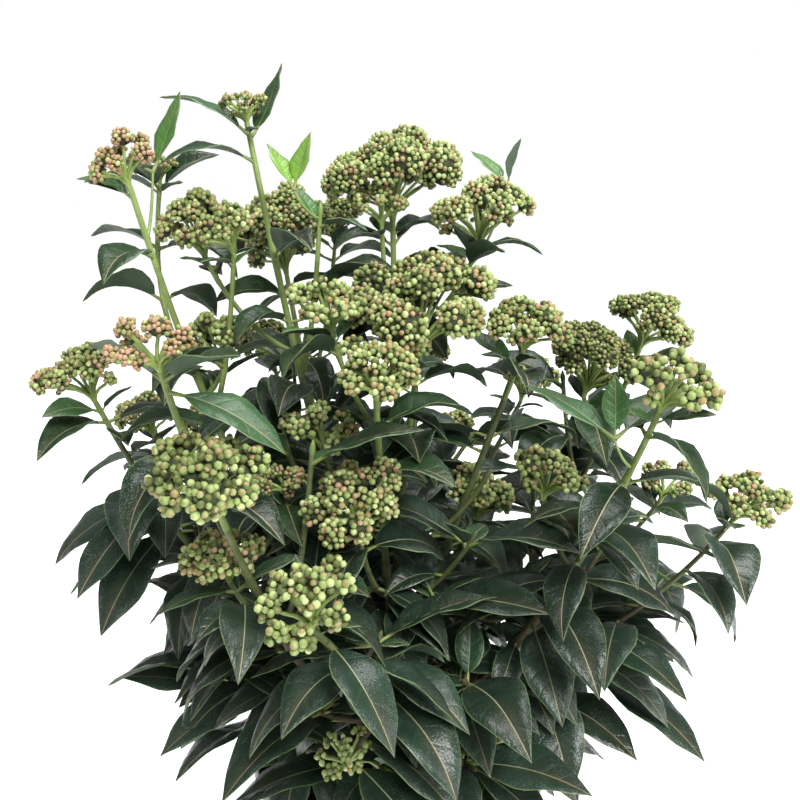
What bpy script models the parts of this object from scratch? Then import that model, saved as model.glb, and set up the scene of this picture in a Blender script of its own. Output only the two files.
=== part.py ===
"""Potted laurustinus: an evergreen shrub in bud, in a plain nursery pot filled with potting mix.

Lengths are in metres and +Z is up. The origin is the middle of the pot's flat underside.
The shrub's front faces -Y and its left is -X. The pot, the potting mix, the trunk and each
bough are solids of their own. So is each mass of foliage: a stem with side shoots, opposite
leaves and heads of flower buds, grown by one seeded rule and fused together.
"""

import math
import random
from typing import NamedTuple

import bmesh
import bpy
from mathutils import Matrix, Vector
from mathutils.bvhtree import BVHTree
from mathutils.kdtree import KDTree

SEED = 11
CLEARANCE = 0.0003
SLIVER = 0.000002
FUSING_TRIES = 12
NUDGE = 0.00003
UP = Vector((0, 0, 1))
TRUNK = "trunk"

# The pot, a five-litre nursery container
POT_HEIGHT = 0.188
POT_RIM_RADIUS = 0.106
POT_FOOT_RADIUS = 0.080
POT_WALL = 0.0024
POT_FLOOR = 0.003
RIM_BAND_HEIGHT = 0.016
RIM_BAND_STEP = 0.003
POT_STEPS = 32
DRAIN_HOLES = 6
DRAIN_HOLE_RADIUS = 0.006
DRAIN_HOLE_SIDES = 12
DRAIN_CIRCLE_RADIUS = 0.058

# The potting mix, filled to just below the rim, level round the trunk and lower at its edge
MIX_TOP = 0.176
MIX_EDGE_DROP = 0.004
MIX_LEVEL_RADIUS = 0.060

# The trunk, short and forked close to the mix
TRUNK_HEIGHT = 0.120
TRUNK_RADIUS = 0.0095
TRUNK_TIP_RADIUS = 0.0055
ROOT_FLARE_RADIUS = 0.0150
ROOT_FLARE_HEIGHT = 0.014
TRUNK_LEAN = 0.004
TRUNK_SHARES = (0.0, 0.06, 0.16, 0.5, 0.85, 1.0)

# Boughs leave the trunk between these heights above the mix, the wide ones lowest, and each
# gives way to a mass's stem at the same share of its route
LOWEST_FORK = 0.026
HIGHEST_FORK = 0.106
FORK_STEP = 0.008
BOUGH_RADIUS = 0.0034
BOUGH_SHARE = 0.27
BOUGH_GAP = CLEARANCE * 1.2
BARE_PAST_BOUGH = 0.04
BOUGH_TEST_FROM = 0.019
ROOT_TEST_FROM = 0.007
LIMB_ROOM = 0.0006
HUB_GAP = 0.006
BOUGH_PIECES = 3
STEM_PIECES = 5
SHOOT_PIECES = 3
STEM_TIP_RADIUS = 0.0017
SHOOT_TIP_RADIUS = 0.0014
KNEE_OUT = 0.60
KNEE_UP = 0.24
KNEE_LEAST_OUT = 0.050
KNEE_STEEPEST = 1.1
LEADER_WITHIN = 0.025
SWING = math.radians(12)
FORK_SHIFTS = 5
BOUGH_SWINGS = 4

# A side shoot leaves its stem between these shares of the stem's route, as near as it can to
# the slope at which shoots rise, and has leaves from this share of its own route upwards
SIDE_LOWEST = BOUGH_SHARE + 0.08
SIDE_HIGHEST = 0.86
SIDE_STEP = 0.04
SIDE_SLOPE = 1.1
SIDE_SWINGS = 2
SHOOT_ROOT_SHARE = 0.85
SHOOT_TEST_RADII = 3
SHOOT_LEAFY_FROM = 0.28
ROUTE_STEPS = 80
TEST_PIECES = 8

# Leaves stand in opposite pairs, each pair a quarter turn round from the one below
NODE_SPACING_LOW = 0.030
NODE_SPACING_HIGH = 0.040
NODE_SPREAD = (0.75, 1.25)
LEAF_LENGTH_LOW = 0.096
LEAF_LENGTH_HIGH = 0.054
LEAF_SIZE_SPREAD = (0.88, 1.06)
LEAF_WIDTH_SHARE = 0.44
LEAF_THICKNESS = 0.0018
LEAF_RIDGE = 0.36
LEAF_HEIGHT_RANGE = 0.44
LEAF_RISE_LOW = math.radians(0)
LEAF_RISE_HIGH = math.radians(44)
LEAF_DROOP_LOW = math.radians(60)
LEAF_DROOP_HIGH = math.radians(62)
LEAF_JITTER = math.radians(13)
LEAF_ROLL = math.radians(20)
TOP_PAIR_SIZE = 0.9
LEAF_TRIES = (
    (0, 1.0, 0),
    (22, 1.0, 0),
    (-22, 1.0, 0),
    (0, 0.85, 18),
    (0, 0.85, -18),
    (42, 0.9, 0),
    (-42, 0.9, 0),
)
LEAF_WIDEST = 0.44
LEAF_FOLD = math.radians(14)
LEAF_ROOT_SINK = 0.4
LEAF_PROBE_FROM = 0.10
LEAF_ROOM = 0.0012
BARE_UNDER_HEAD = 0.014
BARE_UNDER_TIP = 0.004
MOST_PAIRS = 6
AXIS_STEPS = 12
SPACE_ALLOWANCE = 0.042
CROWN_REACH = 0.232

# The lowest that a leaf's tip may hang: this far below the mix as far out as the pot's rim, and
# higher past it by these slopes
LEAF_HANG = 0.026
LIFT_LEFT = 1.3
LIFT_RIGHT = 0.5

# The pair at a shoot's tip stands up more and bends less where it has no head above it or a
# young one, which is no wider than this
YOUNG_HEAD = 0.043
TIP_PAIR_RISE = math.radians(24)
TIP_PAIR_DROOP_SHARE = 0.45

# A flower head's rays part from one point, each ending in a clump of buds. A rule gives the
# widest head it is for, the number of rays, and the radii of their ring and of each clump as
# shares of the head's width.
HEAD_LEAN = 2.0
HEAD_DEPTH_SHARE = 0.52
HUB_RADIUS = 0.0021
HUB_DEPTH = 0.0042
RAY_RADIUS = 0.0010
RING_DROP_SHARE = 0.13
CLUMP_TOP_SHARE = 0.55
CLUMP_FOOT_SHARE = 0.95
CLUMP_TURN = math.radians(-150)
HEAD_RULES = ((0.045, 3, 0.25, 0.210), (0.063, 4, 0.29, 0.195), (1.0, 5, 0.31, 0.175))

# Before each head, on the side that it shows, a space is kept clear of leaves, as wide as these
# shares of the head
LIGHT_OUT = 0.90
LIGHT_UP = 0.44
LIGHT_FRONT = 0.07
LIGHT_REACH = 0.075
LIGHT_SHARES = (0.40, 0.20)

# Each bough with the flower heads that its mass of foliage carries, the head on its own stem
# first. A head is given by its distance right of the pot's middle, behind it and above the
# mix, and by its width.
BOUGHS = {
    "top_left": ((-0.095, 0.000, 0.455, 0.030), (-0.125, -0.020, 0.390, 0.060)),
    "far_left": (
        (-0.155, -0.060, 0.425, 0.042),
        (-0.160, 0.030, 0.420, 0.034),
        (-0.117, -0.020, 0.317, 0.050),
    ),
    "left": ((-0.200, -0.030, 0.300, 0.056), (-0.185, 0.050, 0.250, 0.048)),
    "back_left": (
        (-0.085, 0.060, 0.380, 0.078),
        (-0.050, 0.105, 0.385, 0.050),
        (-0.076, 0.105, 0.290, 0.036),
    ),
    "top": ((-0.005, 0.020, 0.418, 0.076), (0.050, -0.015, 0.395, 0.058)),
    "centre": ((0.012, -0.060, 0.348, 0.080), (-0.040, -0.080, 0.350, 0.046)),
    "front": (
        (-0.013, -0.120, 0.322, 0.046),
        (-0.023, -0.135, 0.255, 0.052),
        (-0.046, -0.070, 0.274, 0.044),
    ),
    "right_centre": ((0.077, -0.040, 0.333, 0.054), (0.052, -0.020, 0.211, 0.042)),
    "near_left": ((-0.116, -0.165, 0.345, 0.042), (-0.066, -0.085, 0.248, 0.034)),
    "low_left": ((-0.088, -0.190, 0.290, 0.056), (-0.092, -0.150, 0.232, 0.046)),
    "low_front": ((-0.044, -0.190, 0.229, 0.052), (-0.030, -0.145, 0.112, 0.036)),
    "near_right": (
        (0.136, -0.140, 0.321, 0.048),
        (0.088, -0.070, 0.244, 0.040),
        (0.200, -0.090, 0.240, 0.046),
    ),
    "far_right": (
        (0.180, 0.060, 0.316, 0.058),
        (0.138, 0.045, 0.289, 0.062),
        (0.184, 0.000, 0.218, 0.044),
    ),
    "back_right": ((0.105, 0.150, 0.255, 0.060), (0.150, 0.110, 0.200, 0.048)),
    "back": ((0.015, 0.180, 0.270, 0.064), (0.040, 0.130, 0.215, 0.046)),
    "rear_left": ((-0.110, 0.165, 0.280, 0.060), (-0.155, 0.110, 0.225, 0.048)),
}

# Leafy shoots without flowers. A rule gives the share of a mass's stem where one leaves it, the
# turn in degrees from the mass's outward side, the reach, the rise, and how many masses go by
# before the next one has it. More of them leave the trunk low down and hang over the pot's rim.
LEAFY_SHOOTS = (
    (0.31, 40, 0.075, 0.012, 1),
    (0.38, -60, 0.070, 0.035, 1),
    (0.52, 65, 0.055, 0.055, 2),
    (0.72, 140, 0.020, 0.100, 3),
)
LEAFY_SWING = math.radians(25)
LEAFY_SWINGS = 4
LEAFY_SIZES = (1.0, 0.75)
SKIRT_SHOOTS = 8
SKIRT_REACH = 0.105
SKIRT_RISE = 0.060
SKIRT_FORK = 0.011
SKIRT_STEP = FORK_STEP / 2
SKIRT_SHIFTS = 2
SKIRT_ROOT_RADIUS = BOUGH_RADIUS * 0.8
SKIRT_LEAFY_FROM = 0.30

LEAF_GREEN = (0.030, 0.075, 0.038)
BARK_BROWN = (0.20, 0.17, 0.07)
POT_GREY = (0.045, 0.047, 0.050)
MIX_BROWN = (0.085, 0.045, 0.025)


class Stem(NamedTuple):
    """A tapering stretch of a curve from foot to tip that is pulled towards its knee."""

    foot: Vector
    knee: Vector
    tip: Vector
    foot_radius: float
    tip_radius: float
    start: float = 0.0
    end: float = 1.0

    def at(self, share):
        rest = 1 - share
        return self.foot * rest * rest + self.knee * 2 * share * rest + self.tip * share * share

    def radius(self, share):
        return self.foot_radius + (self.tip_radius - self.foot_radius) * share

    def further(self, share, distance):
        """The share of the route that lies a short distance past another."""
        speed = ((self.knee - self.foot) * (1 - share) + (self.tip - self.knee) * share).length * 2
        return share + distance / speed

    def knots(self, pieces):
        """Evenly spread points on the stretch, with the radius at each."""
        shares = [self.start + (self.end - self.start) * step / pieces for step in range(pieces + 1)]
        return [(self.at(share), self.radius(share)) for share in shares]


class Leaf(NamedTuple):
    """A blade that leaves its base along outward and bends down under its own weight."""

    base: Vector
    outward: Vector
    rise: float
    droop: float
    roll: float
    length: float

    def point(self, along, across, lift):
        """A point by its share of the length, its distance from the midrib and its height."""
        angle = self.rise - self.droop * along
        run = (math.sin(self.rise) - math.sin(angle)) / self.droop
        climb = (math.cos(angle) - math.cos(self.rise)) / self.droop
        tangent = self.outward * math.cos(angle) + UP * math.sin(angle)
        side = Matrix.Rotation(self.roll, 3, tangent) @ UP.cross(self.outward)
        normal = tangent.cross(side)
        midrib = self.base + (self.outward * run + UP * climb) * self.length
        spread = side * across * math.cos(LEAF_FOLD) + normal * abs(across) * math.sin(LEAF_FOLD)
        return midrib + spread + normal * lift


class Shoot(NamedTuple):
    """A stem with leaf pairs from a share of its route upwards, and its head's width or nought."""

    stem: Stem
    leafy_from: float
    head_width: float


class Probe(NamedTuple):
    """A shape's surface as a search tree, with the ball that holds it and the mass it is part of."""

    owner: str
    centre: Vector
    reach: float
    tree: BVHTree


def clear_scene():
    for item in list(bpy.data.objects):
        bpy.data.objects.remove(item)


def new_collection(name):
    made = bpy.data.collections.new(name)
    bpy.context.scene.collection.children.link(made)
    return made


def principled(name, colour, roughness):
    made = bpy.data.materials.new(name)
    made.use_nodes = True
    shader = made.node_tree.nodes["Principled BSDF"]
    shader.inputs["Base Color"].default_value = (*colour, 1.0)
    shader.inputs["Roughness"].default_value = roughness
    shader.inputs["Metallic"].default_value = 0.0
    return made


def object_from(shape, name, collection):
    mesh = bpy.data.meshes.new(name)
    shape.to_mesh(mesh)
    shape.free()
    made = bpy.data.objects.new(name, mesh)
    collection.objects.link(made)
    return made


def baked(item):
    """The object's mesh with its modifiers applied."""
    bpy.context.view_layer.update()
    graph = bpy.context.evaluated_depsgraph_get()
    return bpy.data.meshes.new_from_object(item.evaluated_get(graph))


def hide_cutter(item):
    item.hide_render = True
    item.display_type = "WIRE"


def tube(name, knots, collection, section=None, resolution=1):
    """A tapering limb through the knots: round, or with the section's outline."""
    curve = bpy.data.curves.new(name, "CURVE")
    curve.dimensions = "3D"
    curve.use_fill_caps = True
    if section:
        curve.bevel_mode = "OBJECT"
        curve.bevel_object = section
    else:
        curve.bevel_depth = 1.0
        curve.bevel_resolution = resolution
    spline = curve.splines.new("POLY")
    spline.points.add(len(knots) - 1)
    for point, (place, radius) in zip(spline.points, knots):
        point.co = (*place, 1.0)
        point.radius = radius
    drawn = bpy.data.objects.new(name, curve)
    collection.objects.link(drawn)
    mesh = baked(drawn)
    bpy.data.objects.remove(drawn)
    shape = bmesh.new()
    shape.from_mesh(mesh)
    bpy.data.meshes.remove(mesh)
    bmesh.ops.remove_doubles(shape, verts=shape.verts, dist=1e-6)
    bmesh.ops.recalc_face_normals(shape, faces=shape.faces)
    return object_from(shape, name, collection)


def twig_section(collection):
    """The three-sided outline of the twigs, which each twig's radius scales."""
    curve = bpy.data.curves.new("twig_section", "CURVE")
    spline = curve.splines.new("POLY")
    spline.points.add(2)
    spline.use_cyclic_u = True
    for corner, point in enumerate(spline.points):
        turn = math.tau * corner / 3
        point.co = (math.cos(turn), math.sin(turn), 0, 1)
    made = bpy.data.objects.new("twig_section", curve)
    collection.objects.link(made)
    hide_cutter(made)
    return made


def turned(name, profile, collection):
    """Turns a profile of radius and height pairs round the vertical axis."""
    shape = bmesh.new()
    corners = [shape.verts.new((radius, 0, height)) for radius, height in profile]
    for first, second in zip(corners, corners[1:]):
        shape.edges.new((first, second))
    mesh = bpy.data.meshes.new(name)
    shape.to_mesh(mesh)
    shape.free()
    made = bpy.data.objects.new(name, mesh)
    collection.objects.link(made)
    turn = made.modifiers.new("turned", "SCREW")
    turn.steps = turn.render_steps = POT_STEPS
    turn.use_merge_vertices = True
    turn.merge_threshold = 0.00005
    return made


def pot_wall_radius(height):
    """The outside of the pot's wall, which widens from its foot to its rim."""
    return POT_FOOT_RADIUS + (POT_RIM_RADIUS - RIM_BAND_STEP - POT_FOOT_RADIUS) * height / POT_HEIGHT


def make_pot(collection, cutters):
    band_foot = POT_HEIGHT - RIM_BAND_HEIGHT
    profile = (
        (0, POT_FLOOR),
        (pot_wall_radius(POT_FLOOR) - POT_WALL, POT_FLOOR),
        (pot_wall_radius(POT_HEIGHT) - POT_WALL, POT_HEIGHT),
        (POT_RIM_RADIUS, POT_HEIGHT),
        (POT_RIM_RADIUS, band_foot),
        (pot_wall_radius(band_foot), band_foot - RIM_BAND_STEP),
        (POT_FOOT_RADIUS, 0),
        (0, 0),
    )
    pot = turned("pot", profile, collection)
    for hole in range(DRAIN_HOLES):
        angle = math.tau * (hole + 0.5) / DRAIN_HOLES
        place = (DRAIN_CIRCLE_RADIUS * math.cos(angle), DRAIN_CIRCLE_RADIUS * math.sin(angle), 0)
        shape = bmesh.new()
        bmesh.ops.create_cone(
            shape,
            cap_ends=True,
            segments=DRAIN_HOLE_SIDES,
            radius1=DRAIN_HOLE_RADIUS,
            radius2=DRAIN_HOLE_RADIUS,
            depth=4 * POT_FLOOR,
            matrix=Matrix.Translation(place),
        )
        hide_cutter(object_from(shape, f"drain_cutter_{hole + 1}", cutters))
    drain = pot.modifiers.new("drain_holes", "BOOLEAN")
    drain.operation = "DIFFERENCE"
    drain.operand_type = "COLLECTION"
    drain.collection = cutters
    return pot


def make_potting_mix(collection):
    """A plug that fills the pot, level in the middle and a little lower at its edge."""
    foot = POT_FLOOR + CLEARANCE
    edge = MIX_TOP - MIX_EDGE_DROP
    inset = POT_WALL + CLEARANCE * 1.2
    profile = (
        (0, MIX_TOP),
        (MIX_LEVEL_RADIUS, MIX_TOP),
        (pot_wall_radius(edge) - inset, edge),
        (pot_wall_radius(foot) - inset, foot),
        (0, foot),
    )
    return turned("potting_mix", profile, collection)


def trunk_knots(grow=0.0):
    """The trunk's centre line and radius from the mix upwards, made larger all round by grow."""
    knots = []
    for share in TRUNK_SHARES:
        height = share * TRUNK_HEIGHT
        flare = (ROOT_FLARE_RADIUS - TRUNK_RADIUS) * max(0.0, 1 - height / ROOT_FLARE_HEIGHT) ** 2
        radius = TRUNK_RADIUS + (TRUNK_TIP_RADIUS - TRUNK_RADIUS) * share + flare + grow
        knots.append((trunk_point(height) + UP * grow * (2 * share - 1), radius))
    return knots


def widest_reach():
    return max(math.hypot(heads[0][0], heads[0][1]) for heads in BOUGHS.values())


def head_axis(head):
    return Vector((head[0] * HEAD_LEAN, head[1] * HEAD_LEAN, 1)).normalized()


def head_hub(head):
    """The point from which a head's rays part, below its buds."""
    place = Vector((head[0], head[1], MIX_TOP + head[2]))
    return place - head_axis(head) * head[3] * HEAD_DEPTH_SHARE


def two_cones(shape, sides):
    """Adds two cones, foot to foot, one unit in radius and in height, to the shape."""
    return bmesh.ops.create_uvsphere(shape, u_segments=sides, v_segments=2, radius=1)["verts"]


def head_shape(head, swell=0.0):
    """A head of buds: rays from one hub, each opening like a cone into a clump under a low dome."""
    width, hub, axis = head[3], head_hub(head), head_axis(head)
    count, ring_share, clump_share = next(rule[1:] for rule in HEAD_RULES if width <= rule[0])
    across = axis.orthogonal().normalized()
    shape = bmesh.new()
    half_turn = math.pi / count
    spokes = [Matrix.Rotation(half_turn * step, 3, axis) @ across for step in range(2 * count)]
    hub_ring = [shape.verts.new(hub + spoke * (HUB_RADIUS + swell)) for spoke in spokes[::2]]
    hub_top = shape.verts.new(hub + axis * HUB_RADIUS)
    hub_foot = shape.verts.new(hub - axis * HUB_DEPTH)
    for turn in range(count):
        spoke, low, high = spokes[2 * turn + 1], hub_ring[turn], hub_ring[(turn + 1) % count]
        shape.faces.new((hub_foot, high, low))
        centre = hub + axis * (HEAD_DEPTH_SHARE - RING_DROP_SHARE) * width + spoke * ring_share * width
        line = (centre - hub).normalized()
        aside = axis.cross(spoke)
        inward = line.cross(aside)
        radius = clump_share * width + swell

        def ring(sides, size, middle):
            turns = [CLUMP_TURN + math.tau * corner / sides for corner in range(sides)]
            around = [aside * math.cos(turn) + inward * math.sin(turn) for turn in turns]
            return [shape.verts.new(middle + direction * size) for direction in around]

        neck = ring(3, RAY_RADIUS + swell, centre - line * radius * CLUMP_FOOT_SHARE)
        rim = ring(6, radius, centre)
        peak = shape.verts.new(centre + line * radius * CLUMP_TOP_SHARE)
        root = (low, high, hub_top)
        for side in range(3):
            after = (side + 1) % 3
            first, middle, last = rim[2 * side], rim[2 * side + 1], rim[2 * after]
            shape.faces.new((root[side], root[after], neck[after], neck[side]))
            shape.faces.new((neck[side], middle, first))
            shape.faces.new((neck[side], neck[after], middle))
            shape.faces.new((neck[after], last, middle))
            shape.faces.new((first, middle, peak))
            shape.faces.new((middle, last, peak))
    bmesh.ops.recalc_face_normals(shape, faces=shape.faces)
    return shape


def leaf_shape(leaf, swell=0.0, start=0.0):
    """A leaf's blade: four points round its edge, and one on and one under its midrib."""
    shape = bmesh.new()
    half = LEAF_WIDTH_SHARE * leaf.length / 2 + swell
    thick = LEAF_THICKNESS / 2 + swell
    for corner in two_cones(shape, 4):
        tipward, aside, lift = corner.co
        along = (1 + tipward) / 2
        if abs(lift) > 0.5:
            along = LEAF_RIDGE
        elif abs(aside) > 0.5:
            along = LEAF_WIDEST
        reach = start + (1 - start + swell / leaf.length) * along
        corner.co = leaf.point(reach, aside * half, lift * thick)
    return shape


def stem_shape(stem, swell, start, end):
    """A stem as a row of cones, only to ask what it would touch."""
    shape = bmesh.new()
    shares = [start + (end - start) * step / TEST_PIECES for step in range(TEST_PIECES + 1)]
    for low, high in zip(shares, shares[1:]):
        first, second = stem.at(low), stem.at(high)
        turn = UP.rotation_difference((second - first).normalized()).to_matrix().to_4x4()
        bmesh.ops.create_cone(
            shape,
            cap_ends=True,
            segments=6,
            radius1=stem.radius(low) + swell,
            radius2=stem.radius(high) + swell,
            depth=(second - first).length,
            matrix=Matrix.Translation((first + second) / 2) @ turn,
        )
    return shape


def light_shape(head):
    """The space that leaves keep clear of before a head, as one prism within another."""
    toward = Vector((0, LIGHT_OUT if head[1] > LIGHT_FRONT else -LIGHT_OUT, LIGHT_UP))
    middle = head_hub(head) + head_axis(head) * HEAD_DEPTH_SHARE * head[3] + toward * LIGHT_REACH / 2
    turn = UP.rotation_difference(toward).to_matrix().to_4x4()
    shape = bmesh.new()
    for share in LIGHT_SHARES:
        radius = share * head[3]
        bmesh.ops.create_cone(
            shape,
            cap_ends=True,
            segments=8,
            radius1=radius,
            radius2=radius,
            depth=LIGHT_REACH,
            matrix=Matrix.Translation(middle) @ turn,
        )
    return shape


def probe_from(shape, owner):
    points = [corner.co for corner in shape.verts]
    centre = sum(points, Vector()) / len(points)
    reach = max((point - centre).length for point in points)
    made = Probe(owner, centre, reach, BVHTree.FromBMesh(shape))
    shape.free()
    return made


def light_probes():
    return [probe_from(light_shape(head), "light") for heads in BOUGHS.values() for head in heads]


def probe_of(item, owner):
    shape = bmesh.new()
    mesh = baked(item)
    shape.from_mesh(mesh)
    bpy.data.meshes.remove(mesh)
    return probe_from(shape, owner)


def is_clear(whole, clipped, standing):
    """Whether a shape touches nothing that stands: its root may touch the trunk and its own mass."""
    for other in standing:
        probe = clipped if other.owner in (TRUNK, whole.owner) else whole
        near = (probe.centre - other.centre).length < probe.reach + other.reach
        if near and probe.tree.overlap(other.tree):
            return False
    return True


def arching(foot, tip, foot_radius, tip_radius, swing=0.0):
    """A stem that leans out at first, swung to one side, and then rises to its tip."""
    run = tip - foot
    out = Matrix.Rotation(swing, 3, UP) @ Vector((run.x, run.y, 0)) * KNEE_OUT
    return Stem(foot, foot + out + UP * run.z * KNEE_UP, tip, foot_radius, tip_radius)


def spread(step, reach):
    """Nought, then one and minus one step, then two and minus two, up to the reach."""
    return [0.0] + [sign * step * turn for turn in range(1, reach + 1) for sign in (1, -1)]


def trunk_point(height):
    share = height / TRUNK_HEIGHT
    return Vector((TRUNK_LEAN * share * share, 0, MIX_TOP + CLEARANCE + height))


def bough_tries(heads):
    """Routes for a bough and the stem that goes on from it, the likeliest first."""
    hub = head_hub(heads[0])
    reach = math.hypot(hub.x, hub.y) / widest_reach()
    height = HIGHEST_FORK + (LOWEST_FORK - HIGHEST_FORK) * min(1.0, reach)
    if math.hypot(hub.x, hub.y) < LEADER_WITHIN:
        yield arching(trunk_point(TRUNK_HEIGHT), hub, BOUGH_RADIUS, STEM_TIP_RADIUS)
    for shift in spread(FORK_STEP, FORK_SHIFTS):
        for swing in spread(SWING, BOUGH_SWINGS):
            fork = min(HIGHEST_FORK, max(LOWEST_FORK, height + shift))
            stem = arching(trunk_point(fork), hub, BOUGH_RADIUS, STEM_TIP_RADIUS, swing)
            out = Vector((stem.knee.x - stem.foot.x, stem.knee.y - stem.foot.y, 0))
            reach = max(out.length, KNEE_LEAST_OUT)
            rise = min(stem.knee.z - stem.foot.z, reach * KNEE_STEEPEST)
            yield stem._replace(knee=stem.foot + out.normalized() * reach + UP * rise)


def side_tries(parent, tip):
    """Routes for a side shoot, from the place where it can rise to its tip most easily."""
    places = int((SIDE_HIGHEST - SIDE_LOWEST) / SIDE_STEP)
    shares = [SIDE_LOWEST + SIDE_STEP * step for step in range(places)]
    run = {share: tip - parent.at(share) for share in shares}
    shares.sort(key=lambda share: abs(run[share].z - SIDE_SLOPE * run[share].xy.length))
    for share in shares:
        root_radius = parent.radius(share) * SHOOT_ROOT_SHARE
        for swing in spread(SWING, SIDE_SWINGS):
            yield arching(parent.at(share), tip, root_radius, SHOOT_TIP_RADIUS, swing)


def leafy_tries(parent, share, turn, reach, rise):
    """Routes for a leafy shoot without flowers, fanned round the stem that bears it."""
    foot = parent.at(share)
    root_radius = parent.radius(share) * SHOOT_ROOT_SHARE
    for swing in spread(LEAFY_SWING, LEAFY_SWINGS):
        for size in LEAFY_SIZES:
            out = Vector((math.cos(turn + swing), math.sin(turn + swing), 0))
            tip = foot + (out * reach + UP * rise) * size
            yield arching(foot, tip, root_radius, SHOOT_TIP_RADIUS)


def first_clear(tries, owner, standing, root_from, clipped_from):
    """The first route that touches nothing, which then stands among the rest."""
    for stem in tries:
        root, start, end = (
            stem.further(0.0, root_from),
            stem.further(0.0, clipped_from),
            stem.further(1.0, -HUB_GAP),
        )
        whole = probe_from(stem_shape(stem, LIMB_ROOM, root, 1.0), owner)
        clipped = probe_from(stem_shape(stem, LIMB_ROOM, start, end), owner)
        if is_clear(whole, clipped, standing):
            standing.append(probe_from(stem_shape(stem, 0.0, root, 1.0), owner))
            return stem
    return None


def plan_shoots(standing):
    """Finds a clear route for every limb: gives the boughs, and the shoots of each mass."""
    boughs, masses = {}, {}
    by_reach = sorted(BOUGHS, key=lambda name: -math.hypot(BOUGHS[name][0][0], BOUGHS[name][0][1]))
    for name in by_reach:
        route = first_clear(bough_tries(BOUGHS[name]), name, standing, ROOT_TEST_FROM, BOUGH_TEST_FROM)
        boughs[name] = route._replace(end=BOUGH_SHARE)
        stem = route._replace(start=route.further(BOUGH_SHARE, BOUGH_GAP))
        masses[name] = [Shoot(stem, BOUGH_SHARE + BARE_PAST_BOUGH, BOUGHS[name][0][3])]
    for count in range(SKIRT_SHOOTS):
        name = f"skirt_{count + 1}"
        tries = skirt_tries(math.tau * (count + 0.5) / SKIRT_SHOOTS)
        route = first_clear(tries, name, standing, ROOT_TEST_FROM, BOUGH_TEST_FROM)
        if route:
            masses[name] = [Shoot(route, SKIRT_LEAFY_FROM, 0)]
    for name in by_reach:
        for head in BOUGHS[name][1:]:
            tries = side_tries(masses[name][0].stem, head_hub(head))
            add_shoot(name, masses[name], tries, standing, head[3])
    for order, name in enumerate(by_reach):
        parent = masses[name][0].stem
        outward = math.atan2(parent.tip.y, parent.tip.x)
        for share, turn, reach, rise, every in LEAFY_SHOOTS:
            if order % every == 0:
                tries = leafy_tries(parent, share, outward + math.radians(turn), reach, rise)
                add_shoot(name, masses[name], tries, standing, 0)
    return boughs, masses


def add_shoot(name, shoots, tries, standing, head_width):
    clipped_from = shoots[0].stem.foot_radius * SHOOT_TEST_RADII
    route = first_clear(tries, name, standing, 0.0, clipped_from)
    if route:
        shoots.append(Shoot(route, SHOOT_LEAFY_FROM, head_width))


def skirt_tries(turn):
    for shift in spread(SKIRT_STEP, SKIRT_SHIFTS):
        for swing in spread(SWING, SIDE_SWINGS):
            angle = turn + swing
            foot = trunk_point(SKIRT_FORK + abs(shift))
            out = Vector((math.cos(angle), math.sin(angle), 0))
            tip = foot + out * SKIRT_REACH + UP * SKIRT_RISE
            yield arching(foot, tip, SKIRT_ROOT_RADIUS, SHOOT_TIP_RADIUS)


def node_shares(shoot, label):
    """Where on a shoot's route its leaf pairs stand, from the top down."""
    rng = random.Random(f"{SEED} {label} spacing")
    shares, passed = [], 0.0
    due = BARE_UNDER_HEAD if shoot.head_width > YOUNG_HEAD else BARE_UNDER_TIP
    for step in range(ROUTE_STEPS, 0, -1):
        high, low = step / ROUTE_STEPS, (step - 1) / ROUTE_STEPS
        if low < shoot.leafy_from or len(shares) == MOST_PAIRS:
            break
        passed += (shoot.stem.at(high) - shoot.stem.at(low)).length
        if passed >= due:
            shares.append(low)
            height = height_share(shoot.stem.at(low))
            spacing = NODE_SPACING_LOW + (NODE_SPACING_HIGH - NODE_SPACING_LOW) * height
            due += spacing * rng.uniform(*NODE_SPREAD)
    return shares


def height_share(place):
    """How high a place is, from nought at the mix to one where the leaves are smallest."""
    return min(1.0, max(0.0, (place.z - MIX_TOP) / LEAF_HEIGHT_RANGE))


def leaf_tries(stem, share, turn, rng, size):
    """Poses of one leaf, the likeliest first: then turned aside, and then shorter."""
    foot = stem.at(share)
    height = height_share(foot)
    length = LEAF_LENGTH_LOW + (LEAF_LENGTH_HIGH - LEAF_LENGTH_LOW) * height
    length *= size * rng.uniform(*LEAF_SIZE_SPREAD)
    rise = LEAF_RISE_LOW + (LEAF_RISE_HIGH - LEAF_RISE_LOW) * height
    rise += rng.uniform(-1, 1) * LEAF_JITTER
    droop = LEAF_DROOP_LOW + (LEAF_DROOP_HIGH - LEAF_DROOP_LOW) * height
    droop += rng.uniform(-1, 1) * LEAF_JITTER
    roll = rng.uniform(-1, 1) * LEAF_ROLL
    turn += rng.uniform(-1, 1) * LEAF_JITTER
    for aside, shorter, lower in LEAF_TRIES:
        angle = turn + math.radians(aside)
        outward = Vector((math.cos(angle), math.sin(angle), 0))
        base = foot - outward * stem.radius(share) * LEAF_ROOT_SINK
        yield Leaf(base, outward, rise - math.radians(lower), droop, roll, length * shorter)


def standing_up(leaf, under_head):
    """A leaf of a tip's pair, which a young head above it keeps from rising too steeply."""
    rise = 0 if under_head else TIP_PAIR_RISE * height_share(leaf.base)
    return leaf._replace(rise=leaf.rise + rise, droop=leaf.droop * TIP_PAIR_DROOP_SHARE)


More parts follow.
